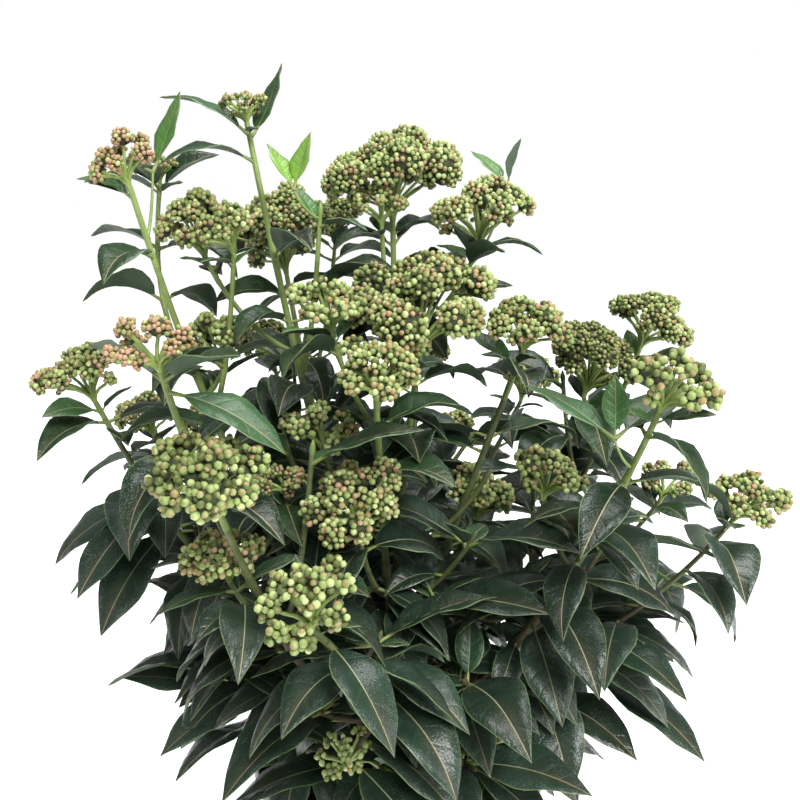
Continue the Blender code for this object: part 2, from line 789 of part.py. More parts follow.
def in_own_space(leaf, name, axes):
    """Whether a leaf stays in the crown and nearer its own mass's stems than any other's."""
    tip = leaf.point(1, 0, 0)
    reach = math.hypot(tip.x, tip.y)
    lift = LIFT_LEFT if tip.x < 0 else LIFT_RIGHT
    lowest = MIX_TOP - LEAF_HANG + lift * max(0.0, reach - POT_RIM_RADIUS)
    if reach > CROWN_REACH or tip.z < lowest:
        return False
    furthest = min(axis.find(tip)[2] for other, axis in axes.items() if other != name)
    return axes[name].find(tip)[2] < furthest + SPACE_ALLOWANCE


def axis_tree(shoots):
    shares = [step / AXIS_STEPS for step in range(AXIS_STEPS + 1)]
    points = [shoot.stem.at(share) for shoot in shoots for share in shares]
    tree = KDTree(len(points))
    for index, point in enumerate(points):
        tree.insert(point, index)
    tree.balance()
    return tree


def plan_leaves(masses, standing):
    """Sets the leaves of every mass, the top pairs of all shoots first and then the next."""
    axes = {name: axis_tree(shoots) for name, shoots in masses.items()}
    leaves = {name: [] for name in masses}
    places = []
    for name, shoots in masses.items():
        for order, shoot in enumerate(shoots):
            for rank, share in enumerate(node_shares(shoot, f"{name} {order}")):
                places.append((rank, name, order, share))
    places.sort(key=lambda place: place[:3])
    for rank, name, order, share in places:
        shoot = masses[name][order]
        rng = random.Random(f"{SEED} {name} {order} {rank}")
        first = random.Random(f"{SEED} {name} {order}").uniform(0, math.pi) + rank * math.pi / 2
        topmost = rank == 0
        size = TOP_PAIR_SIZE if topmost and shoot.head_width else 1.0
        for turn in (first, first + math.pi):
            for leaf in leaf_tries(shoot.stem, share, turn, rng, size):
                if topmost and shoot.head_width <= YOUNG_HEAD:
                    leaf = standing_up(leaf, bool(shoot.head_width))
                whole = probe_from(leaf_shape(leaf, LEAF_ROOM), name)
                clipped = probe_from(leaf_shape(leaf, LEAF_ROOM, LEAF_PROBE_FROM), name)
                if in_own_space(leaf, name, axes) and is_clear(whole, clipped, standing):
                    standing.append(probe_from(leaf_shape(leaf), name))
                    leaves[name].append(leaf)
                    break
    return leaves


def islands_of(shape):
    """The corners of a shape in sets that are joined by edges, the largest set first."""
    unseen = set(shape.verts)
    islands = []
    while unseen:
        island, front = set(), [unseen.pop()]
        while front:
            corner = front.pop()
            island.add(corner)
            reached = {link.other_vert(corner) for link in corner.link_edges} & unseen
            unseen -= reached
            front.extend(reached)
        islands.append(island)
    return sorted(islands, key=len, reverse=True)


def tidy(mesh):
    """Welds slivers, drops loose scraps and sealed hollows, and tells whether the rest is sound."""
    shape = bmesh.new()
    shape.from_mesh(mesh)
    bmesh.ops.triangulate(shape, faces=shape.faces, ngon_method="EAR_CLIP")
    bmesh.ops.remove_doubles(shape, verts=shape.verts, dist=SLIVER)
    loose = [corner for island in islands_of(shape)[1:] for corner in island]
    bmesh.ops.delete(shape, geom=loose, context="VERTS")
    sound = all(item.is_manifold for item in (*shape.edges, *shape.verts))
    shape.to_mesh(mesh)
    shape.free()
    return sound


def fuse(mass, bits):
    """The mesh of a mass's stem with all the bits joined to it."""
    union = mass.modifiers.new("fused", "BOOLEAN")
    union.operation = "UNION"
    union.operand_type = "COLLECTION"
    union.collection = bits
    union.solver = "MANIFOLD"
    mesh = baked(mass)
    mass.modifiers.clear()
    return mesh


def make_mass(name, shoots, heads, leaves, section, collection, bits, trunk_cutter):
    """Fuses a mass's side shoots, heads of buds and leaves on to its stem."""
    mass = tube(f"{name}_foliage", shoots[0].stem.knots(STEM_PIECES), collection, section)
    for shoot in shoots[1:]:
        tube("shoot", shoot.stem.knots(SHOOT_PIECES), bits, section)
    for head in heads:
        object_from(head_shape(head), "head", bits)
    for leaf in leaves:
        object_from(leaf_shape(leaf), "leaf", bits)
    for attempt in range(FUSING_TRIES):
        rng = random.Random(f"{SEED} {name} {attempt}")
        for bit in bits.objects:
            bit.location = [rng.uniform(-1, 1) * NUDGE * attempt for _ in range(3)]
        mesh = fuse(mass, bits)
        if tidy(mesh):
            break
    mass.data = mesh
    for bit in list(bits.objects):
        bpy.data.objects.remove(bit)
    if name not in BOUGHS:
        cut_round(mass, trunk_cutter)
    return mass


def cut_round(item, cutter):
    cut = item.modifiers.new("clear_of_trunk", "BOOLEAN")
    cut.operation = "DIFFERENCE"
    cut.object = cutter


def main():
    clear_scene()
    part = new_collection("potted_laurustinus")
    drain_cutters = new_collection("drain_cutters")
    cutters = new_collection("cutters")
    bits = new_collection("bits")
    section = twig_section(cutters)

    pot = make_pot(part, drain_cutters)
    mix = make_potting_mix(part)
    trunk = tube("trunk", trunk_knots(), part, resolution=3)
    trunk_cutter = tube("trunk_cutter", trunk_knots(CLEARANCE), cutters, resolution=3)
    hide_cutter(trunk_cutter)

    standing = [probe_of(pot, "pot"), probe_of(mix, "pot"), probe_of(trunk, TRUNK)]
    for name, heads in BOUGHS.items():
        for head in heads:
            standing.append(probe_from(head_shape(head, LEAF_ROOM), name))
    boughs, masses = plan_shoots(standing)
    leaves = plan_leaves(masses, standing + light_probes())

    limbs = [trunk]
    for name, stem in boughs.items():
        bough = tube(f"{name}_bough", stem.knots(BOUGH_PIECES), part)
        cut_round(bough, trunk_cutter)
        limbs.append(bough)
    foliage = []
    for name, shoots in masses.items():
        heads = BOUGHS.get(name, ())
        foliage.append(make_mass(name, shoots, heads, leaves[name], section, part, bits, trunk_cutter))

    for items, material in (
        ([pot], principled("pot_plastic", POT_GREY, 0.55)),
        ([mix], principled("potting_mix", MIX_BROWN, 0.95)),
        (limbs, principled("bark", BARK_BROWN, 0.80)),
        (foliage, principled("foliage", LEAF_GREEN, 0.45)),
    ):
        for item in items:
            item.data.materials.clear()
            item.data.materials.append(material)


main()
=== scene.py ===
"""Potted laurustinus, dressed: an evergreen shrub in bud, in a plain pot filled with potting mix.

Lengths are in metres and +Z is up. The limbs and leaves follow the same seeded rule as the solids
that they stand for, with finer leaves, twigs, flower stalks and buds grown on from them.
"""

import math
import random
from typing import NamedTuple

import bmesh
import bpy
from mathutils import Matrix, Vector
from mathutils.bvhtree import BVHTree
from mathutils.kdtree import KDTree

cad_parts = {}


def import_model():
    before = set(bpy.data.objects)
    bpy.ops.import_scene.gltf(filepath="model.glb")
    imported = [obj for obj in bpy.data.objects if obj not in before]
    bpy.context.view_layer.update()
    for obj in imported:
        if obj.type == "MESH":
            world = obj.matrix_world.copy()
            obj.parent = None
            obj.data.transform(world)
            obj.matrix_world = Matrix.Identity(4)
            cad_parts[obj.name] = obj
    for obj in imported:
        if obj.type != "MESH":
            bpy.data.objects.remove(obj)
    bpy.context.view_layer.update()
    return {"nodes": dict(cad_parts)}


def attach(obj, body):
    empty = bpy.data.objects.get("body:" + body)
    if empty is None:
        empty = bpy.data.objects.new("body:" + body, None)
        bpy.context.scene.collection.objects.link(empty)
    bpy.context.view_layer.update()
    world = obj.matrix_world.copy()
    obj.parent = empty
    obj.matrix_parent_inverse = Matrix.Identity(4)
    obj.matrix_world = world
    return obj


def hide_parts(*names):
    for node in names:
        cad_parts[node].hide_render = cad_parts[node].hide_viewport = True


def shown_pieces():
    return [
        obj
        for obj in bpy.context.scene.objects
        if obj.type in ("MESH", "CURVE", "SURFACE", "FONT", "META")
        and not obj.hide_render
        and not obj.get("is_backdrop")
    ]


SEED = 11
CLEARANCE = 0.0003
SLIVER = 0.000002
FUSING_TRIES = 12
NUDGE = 0.00003
UP = Vector((0, 0, 1))
TRUNK = "trunk"

# The pot, a five-litre nursery container
POT_HEIGHT = 0.188
POT_RIM_RADIUS = 0.106
POT_FOOT_RADIUS = 0.080
POT_WALL = 0.0024
POT_FLOOR = 0.003
RIM_BAND_HEIGHT = 0.016
RIM_BAND_STEP = 0.003
POT_STEPS = 32
DRAIN_HOLES = 6
DRAIN_HOLE_RADIUS = 0.006
DRAIN_HOLE_SIDES = 12
DRAIN_CIRCLE_RADIUS = 0.058

# The potting mix, filled to just below the rim, level round the trunk and lower at its edge
MIX_TOP = 0.176
MIX_EDGE_DROP = 0.004
MIX_LEVEL_RADIUS = 0.060

# The trunk, short and forked close to the mix
TRUNK_HEIGHT = 0.120
TRUNK_RADIUS = 0.0095
TRUNK_TIP_RADIUS = 0.0055
ROOT_FLARE_RADIUS = 0.0150
ROOT_FLARE_HEIGHT = 0.014
TRUNK_LEAN = 0.004
TRUNK_SHARES = (0.0, 0.06, 0.16, 0.5, 0.85, 1.0)

# Boughs leave the trunk between these heights above the mix, the wide ones lowest, and each
# gives way to a mass's stem at the same share of its route
LOWEST_FORK = 0.026
HIGHEST_FORK = 0.106
FORK_STEP = 0.008
BOUGH_RADIUS = 0.0034
BOUGH_SHARE = 0.27
BOUGH_GAP = CLEARANCE * 1.2
BARE_PAST_BOUGH = 0.04
BOUGH_TEST_FROM = 0.019
ROOT_TEST_FROM = 0.007
LIMB_ROOM = 0.0006
HUB_GAP = 0.006
BOUGH_PIECES = 3
STEM_PIECES = 5
SHOOT_PIECES = 3
STEM_TIP_RADIUS = 0.0017
SHOOT_TIP_RADIUS = 0.0014
KNEE_OUT = 0.60
KNEE_UP = 0.24
KNEE_LEAST_OUT = 0.050
KNEE_STEEPEST = 1.1
LEADER_WITHIN = 0.025
SWING = math.radians(12)
FORK_SHIFTS = 5
BOUGH_SWINGS = 4

# A side shoot leaves its stem between these shares of the stem's route, as near as it can to
# the slope at which shoots rise, and has leaves from this share of its own route upwards
SIDE_LOWEST = BOUGH_SHARE + 0.08
SIDE_HIGHEST = 0.86
SIDE_STEP = 0.04
SIDE_SLOPE = 1.1
SIDE_SWINGS = 2
SHOOT_ROOT_SHARE = 0.85
SHOOT_TEST_RADII = 3
SHOOT_LEAFY_FROM = 0.28
ROUTE_STEPS = 80
TEST_PIECES = 8

# Leaves stand in opposite pairs, each pair a quarter turn round from the one below
NODE_SPACING_LOW = 0.030
NODE_SPACING_HIGH = 0.040
NODE_SPREAD = (0.75, 1.25)
LEAF_LENGTH_LOW = 0.096
LEAF_LENGTH_HIGH = 0.054
LEAF_SIZE_SPREAD = (0.88, 1.06)
LEAF_WIDTH_SHARE = 0.44
LEAF_THICKNESS = 0.0018
LEAF_RIDGE = 0.36
LEAF_HEIGHT_RANGE = 0.44
LEAF_RISE_LOW = math.radians(0)
LEAF_RISE_HIGH = math.radians(44)
LEAF_DROOP_LOW = math.radians(60)
LEAF_DROOP_HIGH = math.radians(62)
LEAF_JITTER = math.radians(13)
LEAF_ROLL = math.radians(20)
TOP_PAIR_SIZE = 0.9
LEAF_TRIES = (
    (0, 1.0, 0),
    (22, 1.0, 0),
    (-22, 1.0, 0),
    (0, 0.85, 18),
    (0, 0.85, -18),
    (42, 0.9, 0),
    (-42, 0.9, 0),
)
LEAF_WIDEST = 0.44
LEAF_FOLD = math.radians(14)
LEAF_ROOT_SINK = 0.4
LEAF_PROBE_FROM = 0.10
LEAF_ROOM = 0.0012
BARE_UNDER_HEAD = 0.014
BARE_UNDER_TIP = 0.004
MOST_PAIRS = 6
AXIS_STEPS = 12
SPACE_ALLOWANCE = 0.042
CROWN_REACH = 0.232

# The lowest that a leaf's tip may hang: this far below the mix as far out as the pot's rim, and
# higher past it by these slopes
LEAF_HANG = 0.026
LIFT_LEFT = 1.3
LIFT_RIGHT = 0.5

# The pair at a shoot's tip stands up more and bends less where it has no head above it or a
# young one, which is no wider than this
YOUNG_HEAD = 0.043
TIP_PAIR_RISE = math.radians(24)
TIP_PAIR_DROOP_SHARE = 0.45

# A flower head's rays part from one point, each ending in a clump of buds. A rule gives the
# widest head it is for, the number of rays, and the radii of their ring and of each clump as
# shares of the head's width.
HEAD_LEAN = 2.0
HEAD_DEPTH_SHARE = 0.52
HUB_RADIUS = 0.0021
HUB_DEPTH = 0.0042
RAY_RADIUS = 0.0010
RING_DROP_SHARE = 0.13
CLUMP_TOP_SHARE = 0.55
CLUMP_FOOT_SHARE = 0.95
CLUMP_TURN = math.radians(-150)
HEAD_RULES = ((0.045, 3, 0.25, 0.210), (0.063, 4, 0.29, 0.195), (1.0, 5, 0.31, 0.175))

# Before each head, on the side that it shows, a space is kept clear of leaves, as wide as these
# shares of the head
LIGHT_OUT = 0.90
LIGHT_UP = 0.44
LIGHT_FRONT = 0.07
LIGHT_REACH = 0.075
LIGHT_SHARES = (0.40, 0.20)

# Each bough with the flower heads that its mass of foliage carries, the head on its own stem
# first. A head is given by its distance right of the pot's middle, behind it and above the
# mix, and by its width.
BOUGHS = {
    "top_left": ((-0.095, 0.000, 0.455, 0.030), (-0.125, -0.020, 0.390, 0.060)),
    "far_left": (
        (-0.155, -0.060, 0.425, 0.042),
        (-0.160, 0.030, 0.420, 0.034),
        (-0.117, -0.020, 0.317, 0.050),
    ),
    "left": ((-0.200, -0.030, 0.300, 0.056), (-0.185, 0.050, 0.250, 0.048)),
    "back_left": (
        (-0.085, 0.060, 0.380, 0.078),
        (-0.050, 0.105, 0.385, 0.050),
        (-0.076, 0.105, 0.290, 0.036),
    ),
    "top": ((-0.005, 0.020, 0.418, 0.076), (0.050, -0.015, 0.395, 0.058)),
    "centre": ((0.012, -0.060, 0.348, 0.080), (-0.040, -0.080, 0.350, 0.046)),
    "front": (
        (-0.013, -0.120, 0.322, 0.046),
        (-0.023, -0.135, 0.255, 0.052),
        (-0.046, -0.070, 0.274, 0.044),
    ),
    "right_centre": ((0.077, -0.040, 0.333, 0.054), (0.052, -0.020, 0.211, 0.042)),
    "near_left": ((-0.116, -0.165, 0.345, 0.042), (-0.066, -0.085, 0.248, 0.034)),
    "low_left": ((-0.088, -0.190, 0.290, 0.056), (-0.092, -0.150, 0.232, 0.046)),
    "low_front": ((-0.044, -0.190, 0.229, 0.052), (-0.030, -0.145, 0.112, 0.036)),
    "near_right": (
        (0.136, -0.140, 0.321, 0.048),
        (0.088, -0.070, 0.244, 0.040),
        (0.200, -0.090, 0.240, 0.046),
    ),
    "far_right": (
        (0.180, 0.060, 0.316, 0.058),
        (0.138, 0.045, 0.289, 0.062),
        (0.184, 0.000, 0.218, 0.044),
    ),
    "back_right": ((0.105, 0.150, 0.255, 0.060), (0.150, 0.110, 0.200, 0.048)),
    "back": ((0.015, 0.180, 0.270, 0.064), (0.040, 0.130, 0.215, 0.046)),
    "rear_left": ((-0.110, 0.165, 0.280, 0.060), (-0.155, 0.110, 0.225, 0.048)),
}

# Leafy shoots without flowers. A rule gives the share of a mass's stem where one leaves it, the
# turn in degrees from the mass's outward side, the reach, the rise, and how many masses go by
# before the next one has it. More of them leave the trunk low down and hang over the pot's rim.
LEAFY_SHOOTS = (
    (0.31, 40, 0.075, 0.012, 1),
    (0.38, -60, 0.070, 0.035, 1),
    (0.52, 65, 0.055, 0.055, 2),
    (0.72, 140, 0.020, 0.100, 3),
)
LEAFY_SWING = math.radians(25)
LEAFY_SWINGS = 4
LEAFY_SIZES = (1.0, 0.75)
SKIRT_SHOOTS = 8
SKIRT_REACH = 0.105
SKIRT_RISE = 0.060
SKIRT_FORK = 0.011
SKIRT_STEP = FORK_STEP / 2
SKIRT_SHIFTS = 2
SKIRT_ROOT_RADIUS = BOUGH_RADIUS * 0.8
SKIRT_LEAFY_FROM = 0.30

LEAF_GREEN = (0.030, 0.075, 0.038)
BARK_BROWN = (0.20, 0.17, 0.07)
POT_GREY = (0.045, 0.047, 0.050)
MIX_BROWN = (0.085, 0.045, 0.025)


# A leaf blade stands on a short stalk. Its half width at shares of the blade's length is given
# as a share of its widest, and its side veins sweep towards the tip.
STALK_SHARE = 0.12
STALK_RADIUS = 0.0011
STALK_SIDES = 5
STALK_OVERLAP = 0.05
BLADE_WIDTHS = (0.90, 1.06)
BLADE_OUTLINE = (
    (0.0, 0.05),
    (0.06, 0.30),
    (0.16, 0.66),
    (0.28, 0.91),
    (0.40, 1.0),
    (0.52, 0.97),
    (0.64, 0.82),
    (0.76, 0.58),
    (0.86, 0.33),
    (0.94, 0.13),
    (1.0, 0.0),
)
BLADE_ROWS_LARGE = 14
BLADE_ROWS_SMALL = 8
LARGE_LEAF = 0.050
BLADE_THICKNESS = 0.0005
BLADE_SWEEP = 0.18
BLADE_SWAY = 0.10
BLADE_TWIST = math.radians(28)
BLADE_RIPPLE = 0.016
BLADE_RIPPLES = 13.0
BLADE_CURL = 0.035
BLADE_FOLD = 0.60
BLADE_TIP_BEND = 0.40
BLADE_BENDS_FROM = 0.35
SHOWN_FLATNESS = 0.7
BLADE_NARROWER = 0.14
VEIN_RELIEF = 0.005
RIB_SHARE = 0.0065
RIB_DEPTH = 0.0004
MARGIN_WIDTH = 0.00040
VEIN_COUNT = 7.0
VEIN_SWEEP = 0.0
VEIN_PALENESS = 0.36
BLOOM_COLOUR = (0.130, 0.088, 0.060)
BLOOM_STRENGTH = 0.60
# Pale specks on the blades, in patches and thicker near the margin: painted glints of the glossy net of small veins
GLINT_SPECK_COLOUR = (0.20, 0.24, 0.20)
SPECK_SCALE = 1700.0
SPECK_PATCHES = 60.0
SPECK_UNEVEN = 0.6
SPECK_EDGE = 0.16
SPECK_FROM = 1.02
SPECK_STRENGTH = 0.42

# Finer growth on from the limbs: young leaf pairs under the flower heads, and more leaves where
# the coarse ones left room
YOUNG_LENGTH = (0.018, 0.046)
YOUNG_RISE = (math.radians(25), math.radians(70))
YOUNG_DROOP = (math.radians(20), math.radians(55))
YOUNG_BELOW_HEAD = 0.007
FILL_ROOM = 0.0006
FILL_SIZES = (0.92, 0.76, 0.60)
FILL_THINNING = 1.5
FILL_TURNS = (0, 35, -35, 70, -70)
FILL_SPACING = 0.020
FILL_FROM = 0.10

# Buds and the stalks that carry them
BUD_PROFILE = ((0.40, -0.34), (0.51, 0.04), (0.36, 0.38))
BUD_FOOT = -0.56
BUD_TIP = 0.56
BUD_SIDES = 7
BUD_CLOSEST = 0.80
BUD_CROWDING = 1.38
BUDS_A_TWIG = 6.5
BUD_GATHER = 0.20
BUD_INNER = 0.08
BUD_SPREAD = (0.80, 1.12)
BUD_LEVELS = (("upper", 0.355), ("middle", 0.286), ("lower", 0.0))
# Buds sunk inside a clump take the deep finish as painted shade between the buds; the deep finish also comes up at
# random as a darker tone of bud
SHADED_INNER_BUD = 2
BLUSHED_BUD = 3
BUDS_TIPPED = 0.38
# A dark core fills each clump of buds: partly its inner stalks and partly painted shade seen between the buds
CORE = 6
CORE_DEPTH = 0.55
CORE_FLATNESS = 0.80
CLUMP_FLATNESS = 0.88
CLUMP_CAP = math.radians(118)
CLUMP_HIDES = 0.72
FORK_BELOW = 0.75

# A head's dome: the widest head that a rule is for and its outer and inner clumps, then the
# rings' radii, the outer one's drop and the clumps' size as shares of the head's width, and how
# unevenly the clumps sit
DOME_RULES = ((0.045, 6, 2), (0.063, 8, 4), (1.0, 9, 5))
DOME_RING = 0.365
DOME_INNER_RING = 0.165
DOME_DROP = 0.12
DOME_LOW_RING = 0.28
DOME_LOW_DROP = 0.25
DOME_LOW_SIZE = 0.74
DOME_TILTS = (0.02, 0.11)
DOME_CLUMP = 0.145
DOME_SIZES = (0.78, 1.16)
DOME_JITTER = 0.22
DOME_UNEVEN = 0.070

# How often each bud finish comes up in a head of a tint (green, pale, deep, blushed, pink and
# cream), with the least and the greatest width of its buds
BUD_TINTS = {
    "green": ((8, 4, 3, 2, 0.3, 0), (0.0031, 0.0038)),
    # The light tint's many pale buds are painted light, for the heads on top of the crown where the light falls
    "light": ((6, 9, 1, 2, 1, 0), (0.0030, 0.0036)),
    "fresh": ((7, 5, 2, 2, 0, 0), (0.0033, 0.0039)),
    "olive": ((7, 2, 3, 3, 0, 0), (0.0035, 0.0042)),
    "blushed": ((7, 4, 2, 4, 1, 0), (0.0031, 0.0037)),
    "pink": ((1, 1, 0, 5, 8, 0), (0.0026, 0.0031)),
    "deep": ((3, 0, 10, 1, 0, 0), (0.0028, 0.0034)),
    "opening": ((3, 0, 10, 1, 0, 0.2), (0.0028, 0.0034)),
    "small": ((4, 2, 3, 4, 2, 0), (0.0021, 0.0026)),
    "large": ((7, 2, 5, 1, 0, 0), (0.0036, 0.0042)),
}
COMMON_TINTS = ("green", "green", "fresh", "blushed", "deep")
HEAD_TINTS = {
    ("top_left", 0): "small",
    ("top_left", 1): "blushed",
    ("far_left", 0): "pink",
    ("far_left", 1): "blushed",
    ("far_left", 2): "fresh",
    ("back_left", 0): "green",
    ("back_left", 1): "deep",
    ("back_left", 2): "deep",
    # The top heads take the light tint: painted light on the top of the crown
    ("top", 0): "light",
    ("top", 1): "light",
    ("top", 6): "blushed",
    ("far_left", 8): "green",
    ("centre", 0): "green",
    ("centre", 1): "fresh",
    ("front", 0): "fresh",
    ("front", 1): "blushed",
    ("front", 2): "fresh",
    ("right_centre", 0): "blushed",
    ("right_centre", 1): "fresh",
    ("near_left", 0): "pink",
    ("near_left", 1): "small",
    ("low_left", 0): "large",
    ("low_left", 1): "blushed",
    ("low_front", 0): "large",
    ("low_front", 1): "fresh",
    ("near_right", 0): "olive",
    ("near_right", 1): "fresh",
    ("far_right", 0): "green",
    ("far_right", 1): "opening",
}
HEAD_SWELLS = {
    ("top", 0): 1.16,
    ("top", 1): 1.12,
    ("centre", 0): 1.10,
    ("back_left", 0): 1.12,
    ("low_left", 0): 1.08,
    ("front", 0): 1.08,
    ("front", 1): 1.10,
    ("front", 2): 1.15,
    ("far_left", 2): 1.12,
    ("far_right", 0): 1.08,
    ("far_right", 1): 1.22,
    ("right_centre", 1): 1.32,
    ("near_right", 1): 1.32,
}
GOLDEN_ANGLE = math.pi * (3 - math.sqrt(5))

# The heights between which a green stem turns from brown to olive, to green and to fresh green
STEM_BANDS = ((0.31, 0.37), (0.40, 0.46), (0.50, 0.55))
LEADING_BUD = 0.008
LEADING_BUD_PROFILE = ((0.12, 1.15), (0.35, 1.30), (0.65, 0.95), (1.0, 0.20))

# The tints of the leaves, darkest below, as two tones between which each drifts
LOWER_TINTS = {
    "deep": ((0.010, 0.023, 0.013), (0.017, 0.035, 0.021)),
    "dark": ((0.014, 0.031, 0.018), (0.022, 0.045, 0.028)),
    "plain": ((0.019, 0.039, 0.024), (0.030, 0.056, 0.036)),
}
# The upper leaves' tints are darker than the lower ones': painted shade for the shaded inside of the crown
UPPER_TINTS = {
    "dark": ((0.007, 0.017, 0.008), (0.012, 0.026, 0.013)),
    "plain": ((0.010, 0.024, 0.011), (0.017, 0.036, 0.017)),
    "light": ((0.015, 0.038, 0.014), (0.024, 0.054, 0.021)),
}
YOUNG_TINTS = {
    "deep": ((0.013, 0.029, 0.017), (0.021, 0.043, 0.027)),
    "dark": ((0.014, 0.038, 0.016), (0.024, 0.058, 0.026)),
    "mid": ((0.024, 0.070, 0.022), (0.040, 0.100, 0.034)),
    "bright": ((0.036, 0.110, 0.026), (0.060, 0.150, 0.040)),
    "fresh": ((0.055, 0.150, 0.028), (0.085, 0.200, 0.045)),
    # Lime: a young leaf's own green brightened by painted light shining through it from behind
    "lime_backlit": ((0.130, 0.270, 0.030), (0.180, 0.340, 0.050)),
}
LOWER_LEAVES_BELOW = 0.40
FRESH_ABOVE = 0.44

# Leaves that stand out of the crown: the mass, the order of its shoot, the distance below the
# shoot's tip, the azimuth, rise and droop in degrees, the length, and the tint
SHOWN_TURNS = (0, 8, -8, 16, -16, 26, -26)
SHOWN_PROBE_FROM = 0.16
SHOWN_LEAVES = (
    ("top_left", 0, 0.0075, 166, 44, 40, 0.064, "mid"),
    ("top_left", 0, 0.0095, 58, 46, -26, 0.054, "mid"),
    ("top_left", 0, 0.024, 176, 36, 70, 0.060, "dark"),
    ("top", 1, 0.003, -12, 42, 78, 0.046, "dark"),
    ("far_right", 1, 0.020, 158, 26, 30, 0.058, "bright"),
    ("far_right", 1, 0.020, 20, 24, 30, 0.058, "bright"),
    ("near_left", 0, 0.012, -40, 2, 46, 0.068, "mid"),
    ("left", 0, 0.078, -165, -5, 50, 0.080, "deep"),
    ("left", 0, 0.078, -120, -10, 45, 0.080, "deep"),
    ("left", 0, 0.100, 178, -10, 45, 0.084, "deep"),
    ("left", 0, 0.100, -140, -20, 40, 0.084, "deep"),
    ("near_right", 3, 0.002, -34, 2, 46, 0.090, "deep"),
    ("near_right", 3, 0.002, 140, 6, 50, 0.080, "deep"),
    ("far_right", 4, 0.004, -22, 10, 52, 0.086, "deep"),
    ("low_front", 2, 0.008, -30, -6, 42, 0.070, "deep"),
)

# Shoots whose leaf pair at the tip gives way: to the leaves above, or to a small head
BARED_TIPS = (("top_left", 0), ("top_left", 5), ("top", 4), ("far_left", 5), ("near_right", 3))
BARED_REACH = 0.0125
SIDE_HEADS = (("top", 4, 0.038), ("far_left", 5, 0.040))

# Sprigs behind the heads: the mass, the order of its shoot, the distance below the shoot's tip,
# the way to the sprig's tip, and its leaves
SPRIG_RADIUS = 0.0010
SPRIGS = (
    ("top", 1, 0.012, (0.026, 0.034, 0.048), ((132, 42, 20, 0.040, "fresh"), (-25, 80, 8, 0.030, "bright"))),
    ("top_left", 5, 0.002, (-0.013, -0.015, 0.017), ((138, 58, 20, 0.036, "lime_backlit"), (66, 62, 6, 0.038, "lime_backlit"))),
    (
        "near_right",
        0,
        0.036,
        (-0.012, -0.008, 0.018),
        ((132, 26, 14, 0.062, "mid"), (38, 26, 22, 0.072, "mid"), (78, 66, -10, 0.034, "bright")),
    ),
    ("far_left", 0, 0.030, (-0.002, 0.030, 0.036), ((48, 60, -14, 0.050, "fresh"), (-140, 30, 40, 0.034, "bright"))),
)
class Stem(NamedTuple):
    """A tapering stretch of a curve from foot to tip that is pulled towards its knee."""

    foot: Vector
    knee: Vector
    tip: Vector
    foot_radius: float
    tip_radius: float
    start: float = 0.0
    end: float = 1.0

    def at(self, share):
        rest = 1 - share
        return self.foot * rest * rest + self.knee * 2 * share * rest + self.tip * share * share

    def radius(self, share):
        return self.foot_radius + (self.tip_radius - self.foot_radius) * share

    def further(self, share, distance):
        """The share of the route that lies a short distance past another."""
        speed = ((self.knee - self.foot) * (1 - share) + (self.tip - self.knee) * share).length * 2
        return share + distance / speed

    def knots(self, pieces):
        """Evenly spread points on the stretch, with the radius at each."""
        shares = [self.start + (self.end - self.start) * step / pieces for step in range(pieces + 1)]
        return [(self.at(share), self.radius(share)) for share in shares]


class Leaf(NamedTuple):
    """A blade that leaves its base along outward and bends down under its own weight."""

    base: Vector
    outward: Vector
    rise: float
    droop: float
    roll: float
    length: float

    def point(self, along, across, lift):
        """A point by its share of the length, its distance from the midrib and its height."""
        angle = self.rise - self.droop * along
        run = (math.sin(self.rise) - math.sin(angle)) / self.droop
        climb = (math.cos(angle) - math.cos(self.rise)) / self.droop
        tangent = self.outward * math.cos(angle) + UP * math.sin(angle)
        side = Matrix.Rotation(self.roll, 3, tangent) @ UP.cross(self.outward)
        normal = tangent.cross(side)
        midrib = self.base + (self.outward * run + UP * climb) * self.length
        spread = side * across * math.cos(LEAF_FOLD) + normal * abs(across) * math.sin(LEAF_FOLD)
        return midrib + spread + normal * lift


class Shoot(NamedTuple):
    """A stem with leaf pairs from a share of its route upwards, and its head's width or nought."""

    stem: Stem
    leafy_from: float
    head_width: float


class Probe(NamedTuple):
    """A shape's surface as a search tree, with the ball that holds it and the mass it is part of."""

    owner: str
    centre: Vector
    reach: float
    tree: BVHTree


def baked(item):
    """The object's mesh with its modifiers applied."""
    bpy.context.view_layer.update()
    graph = bpy.context.evaluated_depsgraph_get()
    return bpy.data.meshes.new_from_object(item.evaluated_get(graph))


def pot_wall_radius(height):
    """The outside of the pot's wall, which widens from its foot to its rim."""
    return POT_FOOT_RADIUS + (POT_RIM_RADIUS - RIM_BAND_STEP - POT_FOOT_RADIUS) * height / POT_HEIGHT


def trunk_knots(grow=0.0):
    """The trunk's centre line and radius from the mix upwards, made larger all round by grow."""
    knots = []
    for share in TRUNK_SHARES:
        height = share * TRUNK_HEIGHT
        flare = (ROOT_FLARE_RADIUS - TRUNK_RADIUS) * max(0.0, 1 - height / ROOT_FLARE_HEIGHT) ** 2
        radius = TRUNK_RADIUS + (TRUNK_TIP_RADIUS - TRUNK_RADIUS) * share + flare + grow
        knots.append((trunk_point(height) + UP * grow * (2 * share - 1), radius))
    return knots


def widest_reach():
    return max(math.hypot(heads[0][0], heads[0][1]) for heads in BOUGHS.values())


def head_axis(head):
    return Vector((head[0] * HEAD_LEAN, head[1] * HEAD_LEAN, 1)).normalized()


def head_hub(head):
    """The point from which a head's rays part, below its buds."""
    place = Vector((head[0], head[1], MIX_TOP + head[2]))
    return place - head_axis(head) * head[3] * HEAD_DEPTH_SHARE


def two_cones(shape, sides):
    """Adds two cones, foot to foot, one unit in radius and in height, to the shape."""
    return bmesh.ops.create_uvsphere(shape, u_segments=sides, v_segments=2, radius=1)["verts"]


